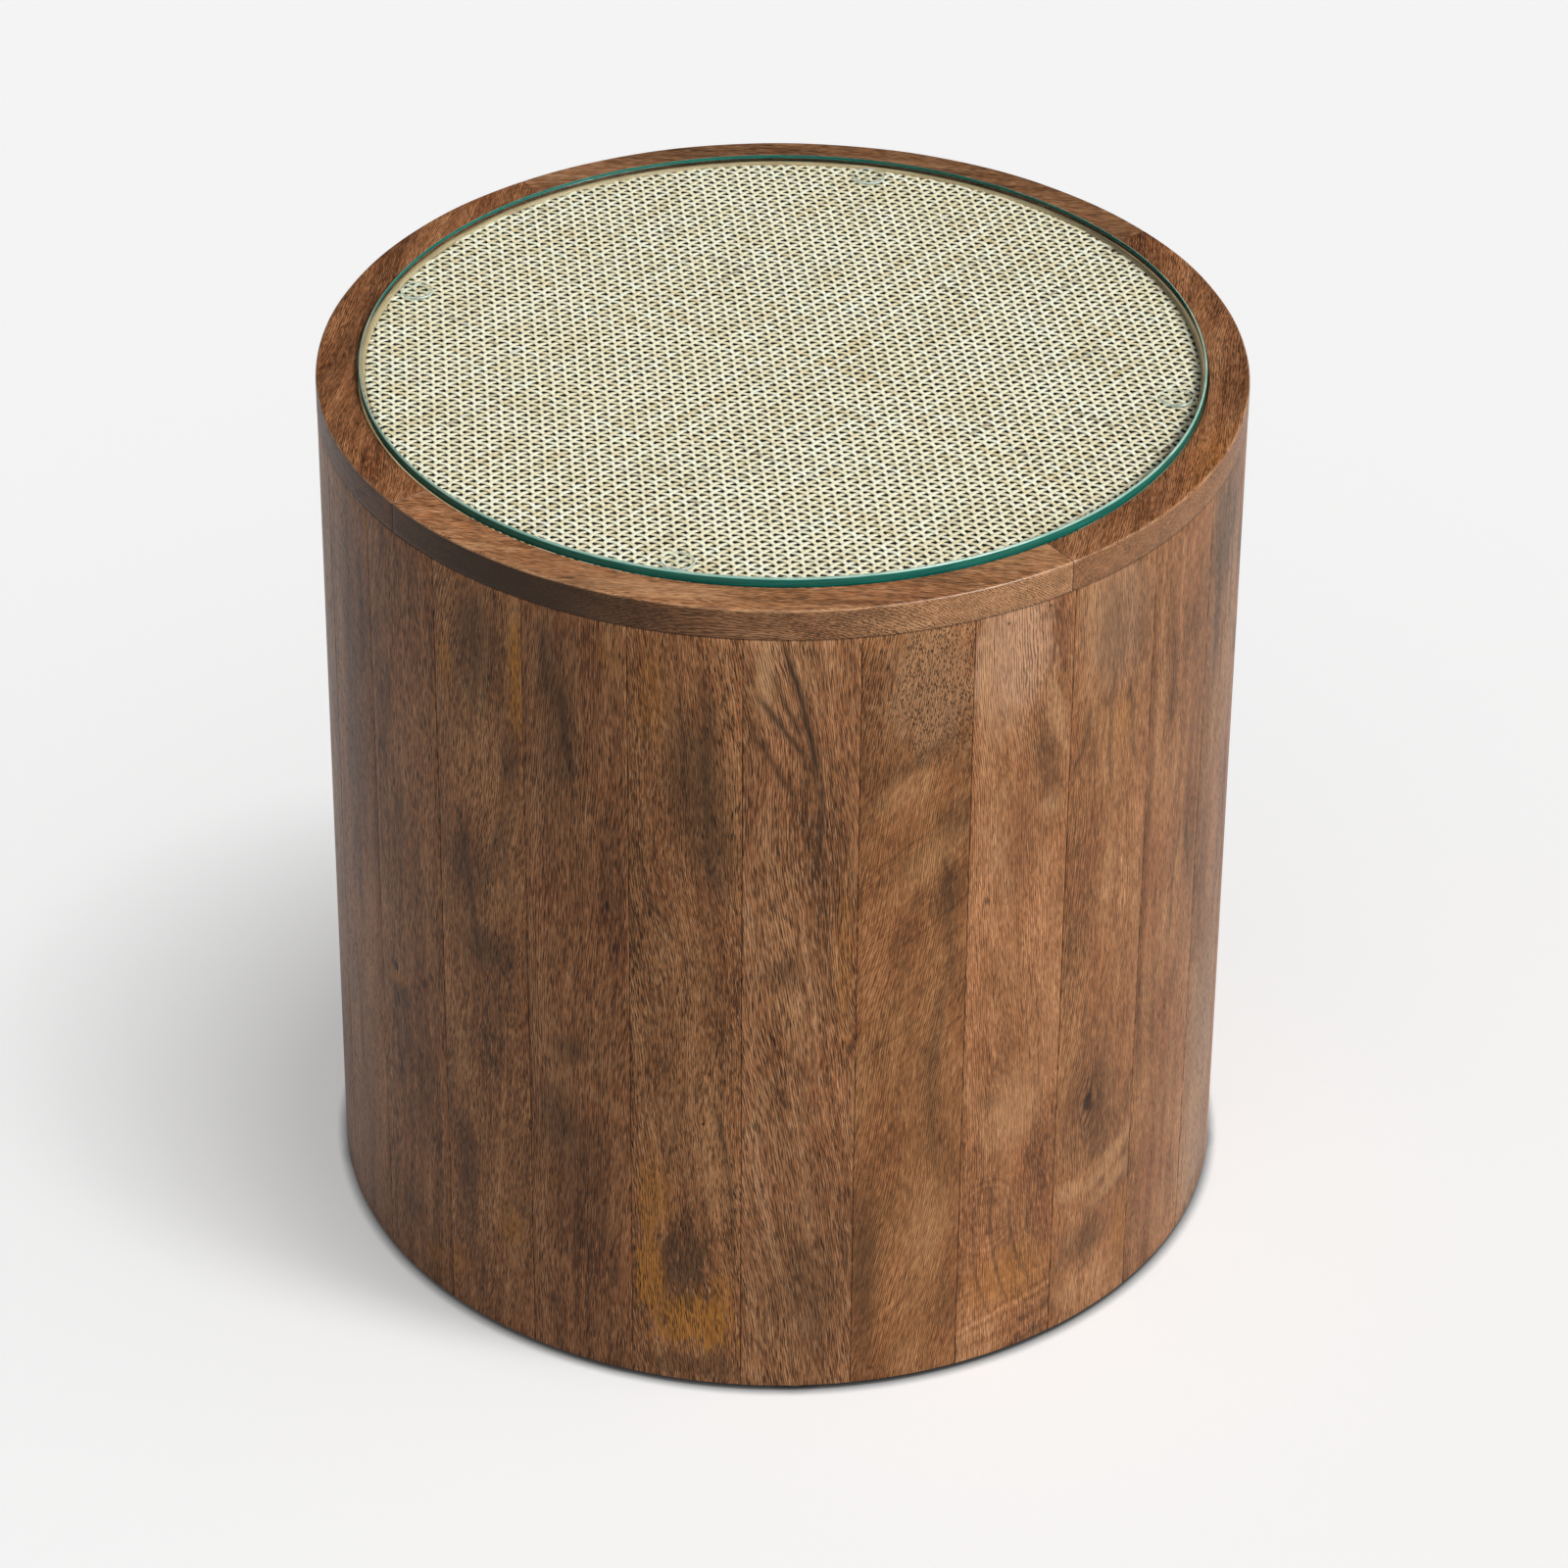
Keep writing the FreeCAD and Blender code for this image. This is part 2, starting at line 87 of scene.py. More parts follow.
def loft(name, rings):
    """Skin each closed ring of points to the next one and close the two ends."""
    rings = np.asarray(rings)
    rows, around = rings.shape[:2]
    near = np.arange(around)
    far = np.roll(near, -1)
    faces = [list(near[::-1]), list(near + (rows - 1) * around)]
    for row in range(rows - 1):
        here, there = row * around, (row + 1) * around
        faces += np.column_stack([near + here, far + here, far + there, near + there]).tolist()
    mesh = bpy.data.meshes.new(name)
    mesh.from_pydata(rings.reshape(-1, 3).tolist(), [], faces)
    skin = bmesh.new()
    skin.from_mesh(mesh)
    bmesh.ops.recalc_face_normals(skin, faces=skin.faces)
    skin.to_mesh(mesh)
    skin.free()
    mesh.shade_smooth()
    mesh.set_sharp_from_angle(angle=crease)
    piece = bpy.data.objects.new(name, mesh)
    bpy.context.collection.objects.link(piece)
    return piece


class Flow:
    """A value on its way through a finish: arithmetic on it adds Math nodes."""

    def __init__(self, tree, socket=None):
        self.tree = tree
        self.socket = socket

    def node(self, kind, settings, sockets, out=0):
        """Add any node: its settings first, then the values or links of its sockets."""
        made = self.tree.nodes.new("ShaderNode" + kind)
        for name, value in settings.items():
            if name == "stops":
                tones = made.color_ramp
                while len(tones.elements) < len(value):
                    tones.elements.new(1)
                for stop, (place, colour) in zip(tones.elements, value):
                    stop.position = place
                    stop.color = (*colour, 1)
            else:
                setattr(made, name, value)
        for name, value in sockets.items():
            if isinstance(value, Flow):
                self.tree.links.new(value.socket, made.inputs[name])
            else:
                made.inputs[name].default_value = value
        return Flow(self.tree, made.outputs[out] if made.outputs else None)

    def beside(self, out):
        """Another output of the node that gave this value."""
        return Flow(self.tree, self.socket.node.outputs[out])

    def maths(self, operation, *terms):
        return self.node("Math", {"operation": operation}, dict(enumerate(terms)))

    def __add__(self, other):
        return self.maths("ADD", self, other)

    def __radd__(self, other):
        return self.maths("ADD", other, self)

    def __sub__(self, other):
        return self.maths("SUBTRACT", self, other)

    def __rsub__(self, other):
        return self.maths("SUBTRACT", other, self)

    def __mul__(self, other):
        return self.maths("MULTIPLY", self, other)

    def __truediv__(self, other):
        return self.maths("DIVIDE", self, other)

    def __pow__(self, other):
        return self.maths("POWER", self, other)

    def __rpow__(self, other):
        return self.maths("POWER", other, self)


def new_finish(name):
    finish = bpy.data.materials.new(name)
    finish.use_nodes = True
    finish.node_tree.nodes.clear()
    return finish, Flow(finish.node_tree)


def rise(value, low, high):
    """0 below low, 1 above high and a smooth step between."""
    return value.node("MapRange", {"interpolation_type": "SMOOTHSTEP"},
                      {"Value": value, "From Min": low, "From Max": high})


def bell(value, steep):
    """1 at nought, falling away as the value grows."""
    return 2.718 ** (value * -steep)


def cloud(place, per_mm, detail=2.0, rough=0.5):
    """Soft noise round nought, with its own scale along each axis."""
    scaled = place.node("VectorMath", {"operation": "MULTIPLY"}, {0: place, 1: per_mm})
    noise = place.node("TexNoise", {}, {
        "Vector": scaled, "Scale": 1.0, "Detail": detail, "Roughness": rough})
    return noise - 0.5


def rows_of(value, detail):
    """Soft noise round nought that changes with one value only, as growth rings do."""
    noise = value.node("TexNoise", {"noise_dimensions": "1D"}, {
        "W": value, "Scale": 1.0, "Detail": detail})
    return noise - 0.5


def ramp(value, *stops):
    """A colour for each value, from the first stop to the last."""
    return value.node("ValToRGB", {"stops": stops}, {"Fac": value})


def tint(below, above, share, blend="MIX"):
    """Lay one colour over another."""
    return below.node("Mix", {"data_type": "RGBA", "blend_type": blend},
                      {0: share, 6: below, 7: above}, 2)


def relief(height, strength, distance):
    """Fine ups and downs of a surface."""
    return height.node("Bump", {}, {
        "Strength": strength, "Distance": distance, "Height": height})


def cover(flow, sockets):
    """End a finish in one plain surface."""
    surface = flow.node("BsdfPrincipled", {}, sockets)
    flow.node("OutputMaterial", {}, {"Surface": surface})


def board_place(flow, lie=Matrix.Identity(3), origin=(0, 0, 0)):
    """Millimetres in a board's own directions: across its face, into it and along its grain."""
    return flow.node("Mapping", {}, {
        "Vector": flow.node("TexCoord", {}, {}, 3),
        "Rotation": lie.to_euler(),
        "Scale": (1 / mm, 1 / mm, 1 / mm),
        "Location": origin,
    })


def ellipse(across, along, at_across, at_along, width, height):
    """1 in the middle of a soft oval on a board's face, fading out past its edge."""
    off, climb = (across - at_across) / width, (along - at_along) / height
    return bell(off * off + climb * climb, 0.7)


def vessels(grain, per_mm, crowding, slim):
    """Open pores cut lengthwise: thin dark dashes scattered along the grain."""
    scaled = grain.node("VectorMath", {"operation": "MULTIPLY"}, {0: grain, 1: per_mm})
    apart = grain.node("TexVoronoi", {}, {
        "Vector": scaled, "Scale": 1.0, "Randomness": 1.0}) - crowding
    return 1 - rise(apart, slim * 0.55, slim)


mango_tones = (
    (0.12, (0.060, 0.024, 0.010)), (0.34, (0.165, 0.070, 0.028)), (0.5, (0.300, 0.134, 0.054)),
    (0.66, (0.430, 0.210, 0.092)), (0.88, (0.620, 0.355, 0.185)))
# The last stain colour, a pale grey, is not a stain: it is laid as painted sheen of light on the
# lacquer.
stain_colours = {
    "smoke": (0.050, 0.029, 0.015, 1), "amber": (0.48, 0.205, 0.034, 1),
    "blond": (0.58, 0.335, 0.165, 1), "painted_sheen": (0.58, 0.385, 0.25, 1)}
rosy_cast = (1.0, 0.92, 0.9, 1)
fleck_colour = (0.62, 0.38, 0.21, 1)
hair_colour = (0.045, 0.022, 0.011, 1)
pore_colour = (0.022, 0.011, 0.006, 1)
knot_colour = (0.035, 0.015, 0.008, 1)
seam_dark_colour = (0.010, 0.006, 0.004, 1)


def mango_finish(name, lie, origin, seed, tone, hatch=0.6, hatch_from=-500, mottle=0.15,
                 vessel=8.0, lean=0.0, streaky=0.8, dotted=(), bands=(), swirls=(), stains=(),
                 curls=(), strokes=(), knots=(), painted_side_light=(), groove=None):
    """Oiled mango under satin lacquer: each board has its own grain, stains and knots."""
    finish, flow = new_finish(name)
    board = board_place(flow, lie, origin)
    across = flow.node("SeparateXYZ", {}, {"Vector": board})
    into, along = across.beside(1), across.beside(2)
    moved = flow.node("VectorMath", {"operation": "ADD"}, {
        0: board, 1: (seed * 37.1, seed * 91.7, seed * 213.3)})

    # The grain wanders across the board, leans with it and flows round its knots.
    patch = cloud(moved, (0.028, 0.028, 0.009), 2.0, 0.5)
    ragged = cloud(moved, (0.13, 0.13, 0.06), 3.0, 0.6)
    wander = cloud(moved, (0.016, 0.016, 0.006), 1.0) * 26
    sway = across - (along - 250) * lean + wander + ragged * 0.9
    # Staves are painted a little lighter over their top 100 mm: painted light from above.
    shade = 0.535 + rise(along, 400, 500) * 0.04 + patch * 0.7 + ragged * 0.2
    for knot_across, knot_along, width, height in knots:
        off, climb = across - knot_across, (along - knot_along) / height
        reach = ((off / width) * (off / width) + climb * climb) ** 0.5
        sway = sway - off * bell(reach * reach, 0.3) * 0.6
        ring = reach.maths("SINE", reach * 9 + patch * 6)
        shade = shade + ring * bell(reach, 0.6) * 0.08
        core = 1 - rise(reach, 0.3, 0.75)
    grain = flow.node("CombineXYZ", {}, {
        0: sway + seed * 37.1, 1: into + seed * 91.7, 2: along + seed * 13.3})

    # Fibres, pores, pale flecks and hair lines all run with the grain.
    streak = cloud(grain, (0.2, 0.2, 0.007), 3.0, 0.6)
    torn = cloud(grain, (0.4, 0.4, 0.06), 3.0, 0.65)
    fibre = cloud(grain, (1.0, 1.0, 0.13), 2.0, 0.6)
    crowding = cloud(moved, (0.1, 0.1, 0.03), 2.0, 0.6) * 0.35
    pore = vessels(grain, (1.7, 1.7, 0.75 / vessel), crowding, 0.4)
    fleck = vessels(grain, (1.6, 1.6, 0.8 / vessel), crowding * -1, 0.44) * (1 - pore)
    waver = cloud(grain, (0.45, 0.45, 0.07), 2.0) * 10
    ridge = sway.maths("SINE", (sway + into * 0.8) * 5.2 + waver)
    hair = rise(ridge + cloud(grain, (0.7, 0.7, 0.16), 2.0) * 2.6, 0.1, 0.9)
    for spot in dotted:
        zone = rise(ellipse(across, along, *spot) + ragged * 0.5, 0.2, 0.6)
        dots = vessels(moved, (1.25, 1.25, 0.34), crowding * 0.7, 0.46)
        pore = pore * (1 - zone) + dots * zone

    # Slanting bands and the rings of a branch change the depth of the brown.
    shade = shade + streak * streaky + fibre * 0.8
    for slant, per_mm, low, high, amount in bands:
        band = rows_of((along + across * slant + ragged * 8) * per_mm + seed, 1.0)
        band = band * rise(along, low, low + 40) * (1 - rise(along, high - 40, high))
        shade = shade + band * amount
    for at_across, at_along, reach, amount in swirls:
        off, climb = across - at_across, (along - at_along) * 0.8
        away = (off * off + climb * climb) ** 0.5 + ragged * 6
        circle = rows_of(away * 0.26 + seed, 2.0)
        shade = shade + circle * (1 - rise(away, reach * 0.5, reach)) * amount
    colour = ramp(shade, *mango_tones)
    speckle = rise(cloud(moved, (0.11, 0.11, 0.055), 4.0, 0.65), 0.06, 0.16)
    colour = tint(colour, stain_colours["smoke"], speckle * mottle)
    rosy = rise(cloud(moved, (0.04, 0.04, 0.012), 2.0, 0.6), -0.1, 0.15)
    colour = tint(colour, rosy_cast, rosy, "MULTIPLY")
    depth = (0.35 + rise(along, hatch_from, hatch_from + 80) * 0.65) * hatch
    colour = tint(colour, fleck_colour, fleck * depth * 0.5)

    # Stains lie in soft or torn patches, tilted curls and bowed strokes. Along the rim's outer side
    # the stain colours are laid as painted shade and painted highlight.
    for stain, at_across, at_along, width, height, share, crisp in stains:
        spread = ellipse(across, along, at_across, at_along, width, height)
        spread = spread + ragged * 0.5 + torn * (0.5 + crisp * 1.8)
        shown = rise(spread, 0.1 + crisp * 0.25, 1.0 - crisp * 0.4) * share
        colour = tint(colour, stain_colours[stain], shown)
        if stain == "blond":
            pore = pore * (1 - shown)
    for stain, at_across, at_along, width, height, tilt, share in curls:
        off, climb = across - at_across, along - at_along
        cos_tilt, sin_tilt = cos(radians(tilt)), sin(radians(tilt))
        spread = ellipse(off * cos_tilt + climb * sin_tilt, climb * cos_tilt - off * sin_tilt,
                         0, 0, width, height)
        shown = rise(spread + ragged * 0.5 + torn * 0.7, 0.1, 1.05)
        colour = tint(colour, stain_colours[stain], shown * share)
    for stain, from_across, from_along, to_across, to_along, bow, width, share in strokes:
        gone = (along - from_along) / (to_along - from_along)
        bent = gone * (1 - gone) * bow * 4
        off = (across - from_across - gone * (to_across - from_across) - bent) / width + ragged
        shown = rise(gone, -0.05, 0.2) * (1 - rise(gone, 0.75, 1.05))
        colour = tint(colour, stain_colours[stain], bell(off * off, 1) * shown * share)
    # Painted light along the rim's outer side: smoke entries are painted shade, blond entries
    # painted highlight.
    for stain, at_along, height, share in painted_side_light:
        climb = (along - at_along) / height
        shown = bell(climb * climb, 0.7) * rise(into, 0.4, 1.8)
        colour = tint(colour, stain_colours[stain], shown * share)
    colour = tint(colour, hair_colour, hair * 0.68)
    colour = tint(colour, pore_colour, pore * depth)
    if knots:
        colour = tint(colour, knot_colour, core * 0.95)
    colour = tint(colour, (*tone, 1), 1.0, "MULTIPLY")
    if groove:
        colour = tint(colour, seam_dark_colour, groove(across, into, along) * 0.5)

    # The rim's upper arris is painted paler, partly as rubbed wear and partly as a painted
    # highlight, and the lacquer lies thicker on it.
    lacquer = 0.02 + fibre * 0.02
    if painted_side_light:
        facing = flow.node("NewGeometry", {}, {}, 1)
        upward = flow.node("SeparateXYZ", {}, {"Vector": facing}).beside(2)
        arris = rise(upward, 0.1, 0.35) * (1 - rise(upward, 0.75, 0.97))
        colour = tint(colour, stain_colours["blond"], arris * rise(ragged, -0.2, 0.2) * 0.4)
        lacquer = lacquer + arris * 0.5
    cover(flow, {
        "Base Color": colour, "Roughness": 0.42 + fibre * 0.2 + pore * 0.14,
        "Normal": relief(fibre * 0.5 - pore * 0.8, 0.35, 0.0004),
        "Specular IOR Level": 0.13, "Coat Weight": lacquer, "Coat Roughness": 0.25})
    return finish


def stave_groove(across, into, along):
    """Darker in the V at a stave's two long edges and under the rim."""
    side = rise(across.maths("ABSOLUTE", across), 29.95, 30.4)
    return side.maths("MAXIMUM", side, rise(along, 490.0, 490.8))


# How each stave differs: places are millimetres from its middle line and up from the floor.
# A stain is a colour, its place, its reach, its strength and how torn its edge is. A curl has
# a tilt before its strength, and a stroke runs bowed from one place to another.
# The pale grey patch listed first among the stains of entries 1, 2, 3, 5 and 21 is painted sheen of
# light on the lacquer, not a stain.
stave_looks = {
    0: {"tone": (0.95, 0.9, 0.88), "hatch": 1.0, "vessel": 9.0, "lean": 0.12,
        "stains": (("blond", 19, 470, 5, 24, 0.8, 0.3), ("smoke", 8, 283, 11, 11, 0.45, 0),
                   ("amber", -24, 290, 5, 50, 0.3, 0), ("smoke", -7, 71, 16, 40, 0.3, 0),
                   ("smoke", 4, 100, 28, 80, 0.2, 0.3)),
        "strokes": (("smoke", 12, 494, -10, 395, -3, 2.0, 0.95),
                    ("smoke", -10, 405, -7, 345, -2, 2.0, 0.75),
                    ("smoke", 23, 458, -5, 414, 0, 2.6, 0.8),
                    ("smoke", 27, 440, 0, 388, 0, 2.4, 0.65),
                    ("smoke", 17, 474, 0, 430, 0, 2.0, 0.65),
                    ("blond", 15, 215, 28, 165, 0, 2.5, 0.35))},
    1: {"mottle": 0.08, "tone": (0.9, 0.84, 0.75), "hatch": 0.9, "hatch_from": 370, "vessel": 5.0,
        "lean": -0.15, "streaky": 0.25,
        "dotted": ((-14, 452, 24, 44),),
        "bands": ((0.75, 0.4, 200, 430, 0.2), (0.75, 0.12, 120, 420, 0.14),
                  (0.7, 0.035, 180, 420, 0.2)),
        "swirls": ((38, 95, 85, 0.2),),
        "stains": (("painted_sheen", -6, 456, 24, 40, 0.25, 0.5), ("smoke", -20, 325, 12, 18, 0.3, 0),
                   ("smoke", 24, 85, 8, 55, 0.5, 0), ("smoke", 19.3, 12, 1.4, 1.2, 0.8, 0)),
        "curls": (("blond", 6, 394, 18, 9, -30, 0.35), ("smoke", -2, 412, 30, 6, -28, 0.4),
                  ("blond", -10, 352, 26, 9, -38, 0.3), ("smoke", -22, 372, 14, 12, -40, 0.3),
                  ("blond", -14, 108, 14, 26, 0, 0.3))},
    2: {"mottle": 0.08, "tone": (1.06, 1.0, 0.98), "hatch": 0.38, "vessel": 4.5, "streaky": 0.3,
        "bands": ((0.22, 0.15, -30, 75, 0.6),),
        "swirls": ((14, 100, 34, 0.4),),
        "stains": (("painted_sheen", 8, 465, 24, 40, 0.5, 0.3), ("blond", 23, 448, 4, 40, 0.45, 0),
                   ("smoke", 1, 344, 14, 40, 0.3, 0), ("blond", 0, 170, 20, 25, 0.35, 0),
                   ("smoke", 14, 180, 7, 6, 0.4, 0), ("smoke", 11.3, 484, 0.9, 0.9, 0.9, 0),
                   ("smoke", -13.7, 487, 0.9, 0.9, 0.9, 0), ("smoke", 19, 313, 2.0, 2.4, 0.6, 0)),
        "curls": (("blond", -20, 420, 6, 26, -16, 0.55), ("blond", -18, 362, 7, 7, 0, 0.45),
                  ("smoke", -14, 395, 8, 30, -12, 0.4), ("amber", -2, 52, 28, 20, 0, 0.3)),
        "strokes": (("smoke", 9, 130, -6, 26, 8, 1.3, 0.55),
                    ("smoke", -3, 122, -19, 40, 8, 1.3, 0.5),
                    ("smoke", 19, 118, 5, 20, 8, 1.3, 0.45))},
    3: {"mottle": 0.08, "tone": (0.98, 0.94, 0.91), "hatch": 0.36, "vessel": 5.0, "streaky": 0.35,
        "knots": ((7, 151, 6, 13),),
        "stains": (("painted_sheen", 0, 465, 26, 45, 0.25, 0.3), ("amber", -25, 44, 6, 30, 0.3, 0),
                   ("smoke", 4, 457, 12, 30, 0.3, 0), ("smoke", -20, 447, 6, 25, 0.35, 0),
                   ("amber", -5, 394, 8, 18, 0.2, 0)),
        "curls": (("smoke", 7, 150, 19, 36, 0, 0.5), ("blond", -14, 103, 22, 7, -38, 0.55),
                  ("blond", -16, 86, 22, 6, -26, 0.5), ("blond", 20, 94, 14, 7, 4, 0.45),
                  ("smoke", 5, 54, 20, 13, -12, 0.5), ("blond", 18, 22, 10, 9, -30, 0.35))},
    4: {"mottle": 0.08, "tone": (0.88, 0.83, 0.79), "hatch": 0.42, "streaky": 0.5,
        "stains": (("smoke", 28, 347, 3, 150, 0.3, 0),)},
    5: {"tone": (0.8, 0.79, 0.78), "hatch": 0.6, "streaky": 0.5,
        "stains": (("painted_sheen", 0, 90, 30, 90, 0.3, 0.3), ("smoke", 14, 403, 5, 40, 0.5, 0),
                   ("smoke", 7, 460, 26, 40, 0.6, 0.2))},
    21: {"mottle": 0.25, "tone": (0.85, 0.77, 0.71), "hatch": 0.6,
         "stains": (("painted_sheen", 0, 80, 30, 90, 0.2, 0.3), ("smoke", 2, 323, 14, 70, 0.3, 0),
                    ("smoke", 0, 440, 26, 50, 0.35, 0), ("amber", -29, 481, 4, 12, 0.5, 0))},
    22: {"mottle": 0.4, "tone": (0.93, 0.85, 0.78), "hatch": 0.95,
         "knots": ((15.4, 205.7, 4.8, 5.4),),
         "stains": (("amber", 14, 200, 7, 8, 0.45, 0), ("smoke", 7.5, 189, 8, 7, 0.55, 0),
                    ("blond", -27, 205, 2.5, 12, 0.4, 0), ("smoke", 7, 48, 10, 16, 0.4, 0),
                    ("amber", -16, 20, 9, 14, 0.45, 0.4), ("smoke", 1.9, 484, 0.9, 0.9, 0.9, 0))},
    23: {"mottle": 0.45, "tone": (1.05, 0.99, 0.92), "hatch": 0.92,
         "stains": (("amber", 23.5, 433, 5, 16, 0.55, 0.3), ("smoke", -1, 450, 14, 42, 0.5, 0),
                    ("amber", -26, 441, 4, 38, 0.7, 0.3), ("smoke", -22, 388, 7, 22, 0.45, 0),
                    ("smoke", 11, 312, 14, 22, 0.35, 0), ("smoke", -5, 260, 16, 14, 0.5, 0),
                    ("smoke", 17, 112, 8, 30, 0.4, 0.4), ("amber", -15, 77, 8, 14, 0.4, 0.5),
                    ("amber", 27, 32, 8, 14, 0.4, 0.3))},
    24: {"mottle": 0.25, "tone": (0.86, 0.78, 0.73), "hatch": 0.95,
         "stains": (("amber", -20, 474, 6, 14, 0.3, 0), ("smoke", 5, 213, 12, 9, 0.5, 0),
                    ("smoke", 15, 167, 13, 22, 0.45, 0), ("smoke", -2, 116, 16, 40, 0.25, 0),
                    ("smoke", 17.5, 38, 3, 4, 0.7, 0), ("smoke", 10, 425, 14, 70, 0.4, 0)),
         "curls": (("blond", -12, 186, 18, 4, 20, 0.4), ("blond", -12, 208, 18, 4, -28, 0.35),
                   ("smoke", 0, 150, 22, 26, 0, 0.3)),
         "strokes": (("smoke", 18, 480, 15, 436, 0, 3, 0.6),
                     ("smoke", 8, 450, 1, 382, 0, 3.5, 0.7))},
    25: {"mottle": 0.4, "tone": (0.97, 0.91, 0.85), "hatch": 1.0, "lean": 0.07,
         "knots": ((-10, 181, 1.6, 2.2),),
         "stains": (("smoke", -4, 406, 14, 42, 0.6, 0), ("smoke", -17, 362, 12, 40, 0.5, 0),
                    ("amber", 18, 454, 8, 30, 0.3, 0), ("amber", 18, 126, 10, 26, 0.45, 0.4),
                    ("amber", 20, 72, 8, 28, 0.7, 0.8), ("amber", -20, 62, 7, 14, 0.4, 0.9),
                    ("amber", -4, 46, 20, 17, 0.75, 1.0), ("smoke", 2, 84, 11, 24, 0.6, 1.0),
                    ("smoke", 0, 14, 26, 8, 0.5, 0.7))},
}
bench = np.random.default_rng(26)
common_stains = ["smoke", "amber", "blond"]
end_rise = (1 - np.cos(quarter)) * end_ease
end_inset = (1 - np.sin(quarter)) * end_ease
stave_levels = [(stave_foot + up, inset, False) for up, inset in zip(end_rise, end_inset)]
stave_levels += [(12 * mm, 0, False), (23 * mm, 0, False), (groove_low, 0, False),
                 (groove_low, 0, True), (groove_high, 0, True)]
stave_levels += [(level, 0, False) for level in np.linspace(groove_high, rebate_low, 36)]
stave_levels += [(rebate_low, 0, True), (482 * mm, 0, True)]
stave_levels += [(stave_head - up, inset, True)
                 for up, inset in zip(end_rise[::-1], end_inset[::-1])]
swell_length, swell_slant, front_depth = 45 * mm, 22, 1.5 * mm
for index in range(stave_count):
    node_name = f"stave_{index + 1:02d}"
    middle = stave_start + (2 * index + 1) * stave_half
    set_back = bench.uniform(0.01, 0.16) * mm
    swell = bench.uniform(0.01, 0.05) * mm
    turn = bench.uniform(0, 6)
    rings = []
    for level, inset, housed in stave_levels:
        angles, radii = stave_outline(inset, housed)
        wave = np.sin(level / swell_length + turn + angles * swell_slant)
        hollow = set_back + swell * (1 + wave)
        radii = radii - np.where(radii > stave_front - front_depth, hollow, 0)
        rings.append(np.column_stack([
            radii * np.cos(middle + angles), radii * np.sin(middle + angles),
            np.full(len(radii), level)]))
    stave = loft("wood_" + node_name, rings)
    depth = bench.uniform(0.74, 0.98)
    look = {
        "tone": (depth, depth * bench.uniform(0.93, 0.98), depth * bench.uniform(0.88, 0.96)),
        "hatch": bench.uniform(0.3, 0.7), "vessel": bench.uniform(4, 8),
        "lean": bench.uniform(-0.08, 0.08),
        "stains": [
            (bench.choice(common_stains, p=[0.55, 0.25, 0.2]), bench.uniform(-24, 24),
             bench.uniform(20, 470), bench.uniform(5, 18), bench.uniform(10, 50),
             bench.uniform(0.25, 0.55), bench.uniform(0, 0.4)) for _ in range(5)],
        "strokes": [
            ("smoke", run, level, run + bench.uniform(-14, 14), level - bench.uniform(40, 110),
             bench.uniform(-5, 5), bench.uniform(1.5, 4), bench.uniform(0.3, 0.6))
            for run, level in zip(bench.uniform(-20, 20, 3), bench.uniform(140, 490, 3))]}
    look.update(stave_looks.get(index, {}))
    lie = Matrix.Rotation(pi / 2 - middle, 3, "Z")
    finish = mango_finish("mango_" + node_name, lie, (0, -stave_front / mm, 0),
                          index + 1, groove=stave_groove, **look)
    stave.data.materials.append(finish)
    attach(stave, "drum")
    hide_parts(node_name)


# Rim: four curved mango segments, sawn with the grain along each chord, butted end to end
# and doweled down on the staves. The top edges are rounded over, partly worn paler and partly
# painted with a highlight.
rim_inner, rim_outer = 230 * mm, 251.98 * mm
rim_low, rim_high = 491 * mm, 509 * mm
rim_start, rim_sweep = radians(-53.5), radians(90)
rim_round, rim_ease = 1.5 * mm, 0.4 * mm
rim_path = 241


def rim_outline(inset, wear):
    """Heights and radii round the rim's section, from its inner top edge to its outer side."""
    over = np.radians([0, 15, 30, 45, 60, 75, 90])
    outer_round, inner_round = rim_round * wear, rim_round * 0.35
    inside, outside = rim_inner + inset, rim_outer - inset
    low, high = rim_low + inset, rim_high - inset
    radii = np.concatenate([
        inside + inner_round * (1 - np.cos(over)),
        np.linspace(inside + inner_round, outside - outer_round, 9)[1:-1],
        outside - outer_round * (1 - np.sin(over)),
        np.full(4, outside),
        outside - rim_ease * (1 - np.cos(quarter)),
        inside + rim_ease * (1 - np.sin(quarter)),
        np.full(2, inside)])
    heights = np.concatenate([
        high - inner_round * (1 - np.sin(over)),
        np.full(7, high),
        high - outer_round * (1 - np.cos(over)),
        np.linspace(high - outer_round, low + rim_ease, 6)[1:-1],
        low + rim_ease * (1 - np.sin(quarter)),
        low + rim_ease * (1 - np.cos(quarter)),
        np.linspace(low + rim_ease, high - inner_round, 4)[1:-1]])
    return heights, radii


def rim_groove(across, into, along):
    """Darker in the joints between rim segments and over the staves."""
    end = rise(along.maths("ABSOLUTE", along) - across - rim_path, -0.8, -0.2)
    return end.maths("MAXIMUM", end, rise(into, 17.3, 17.9))


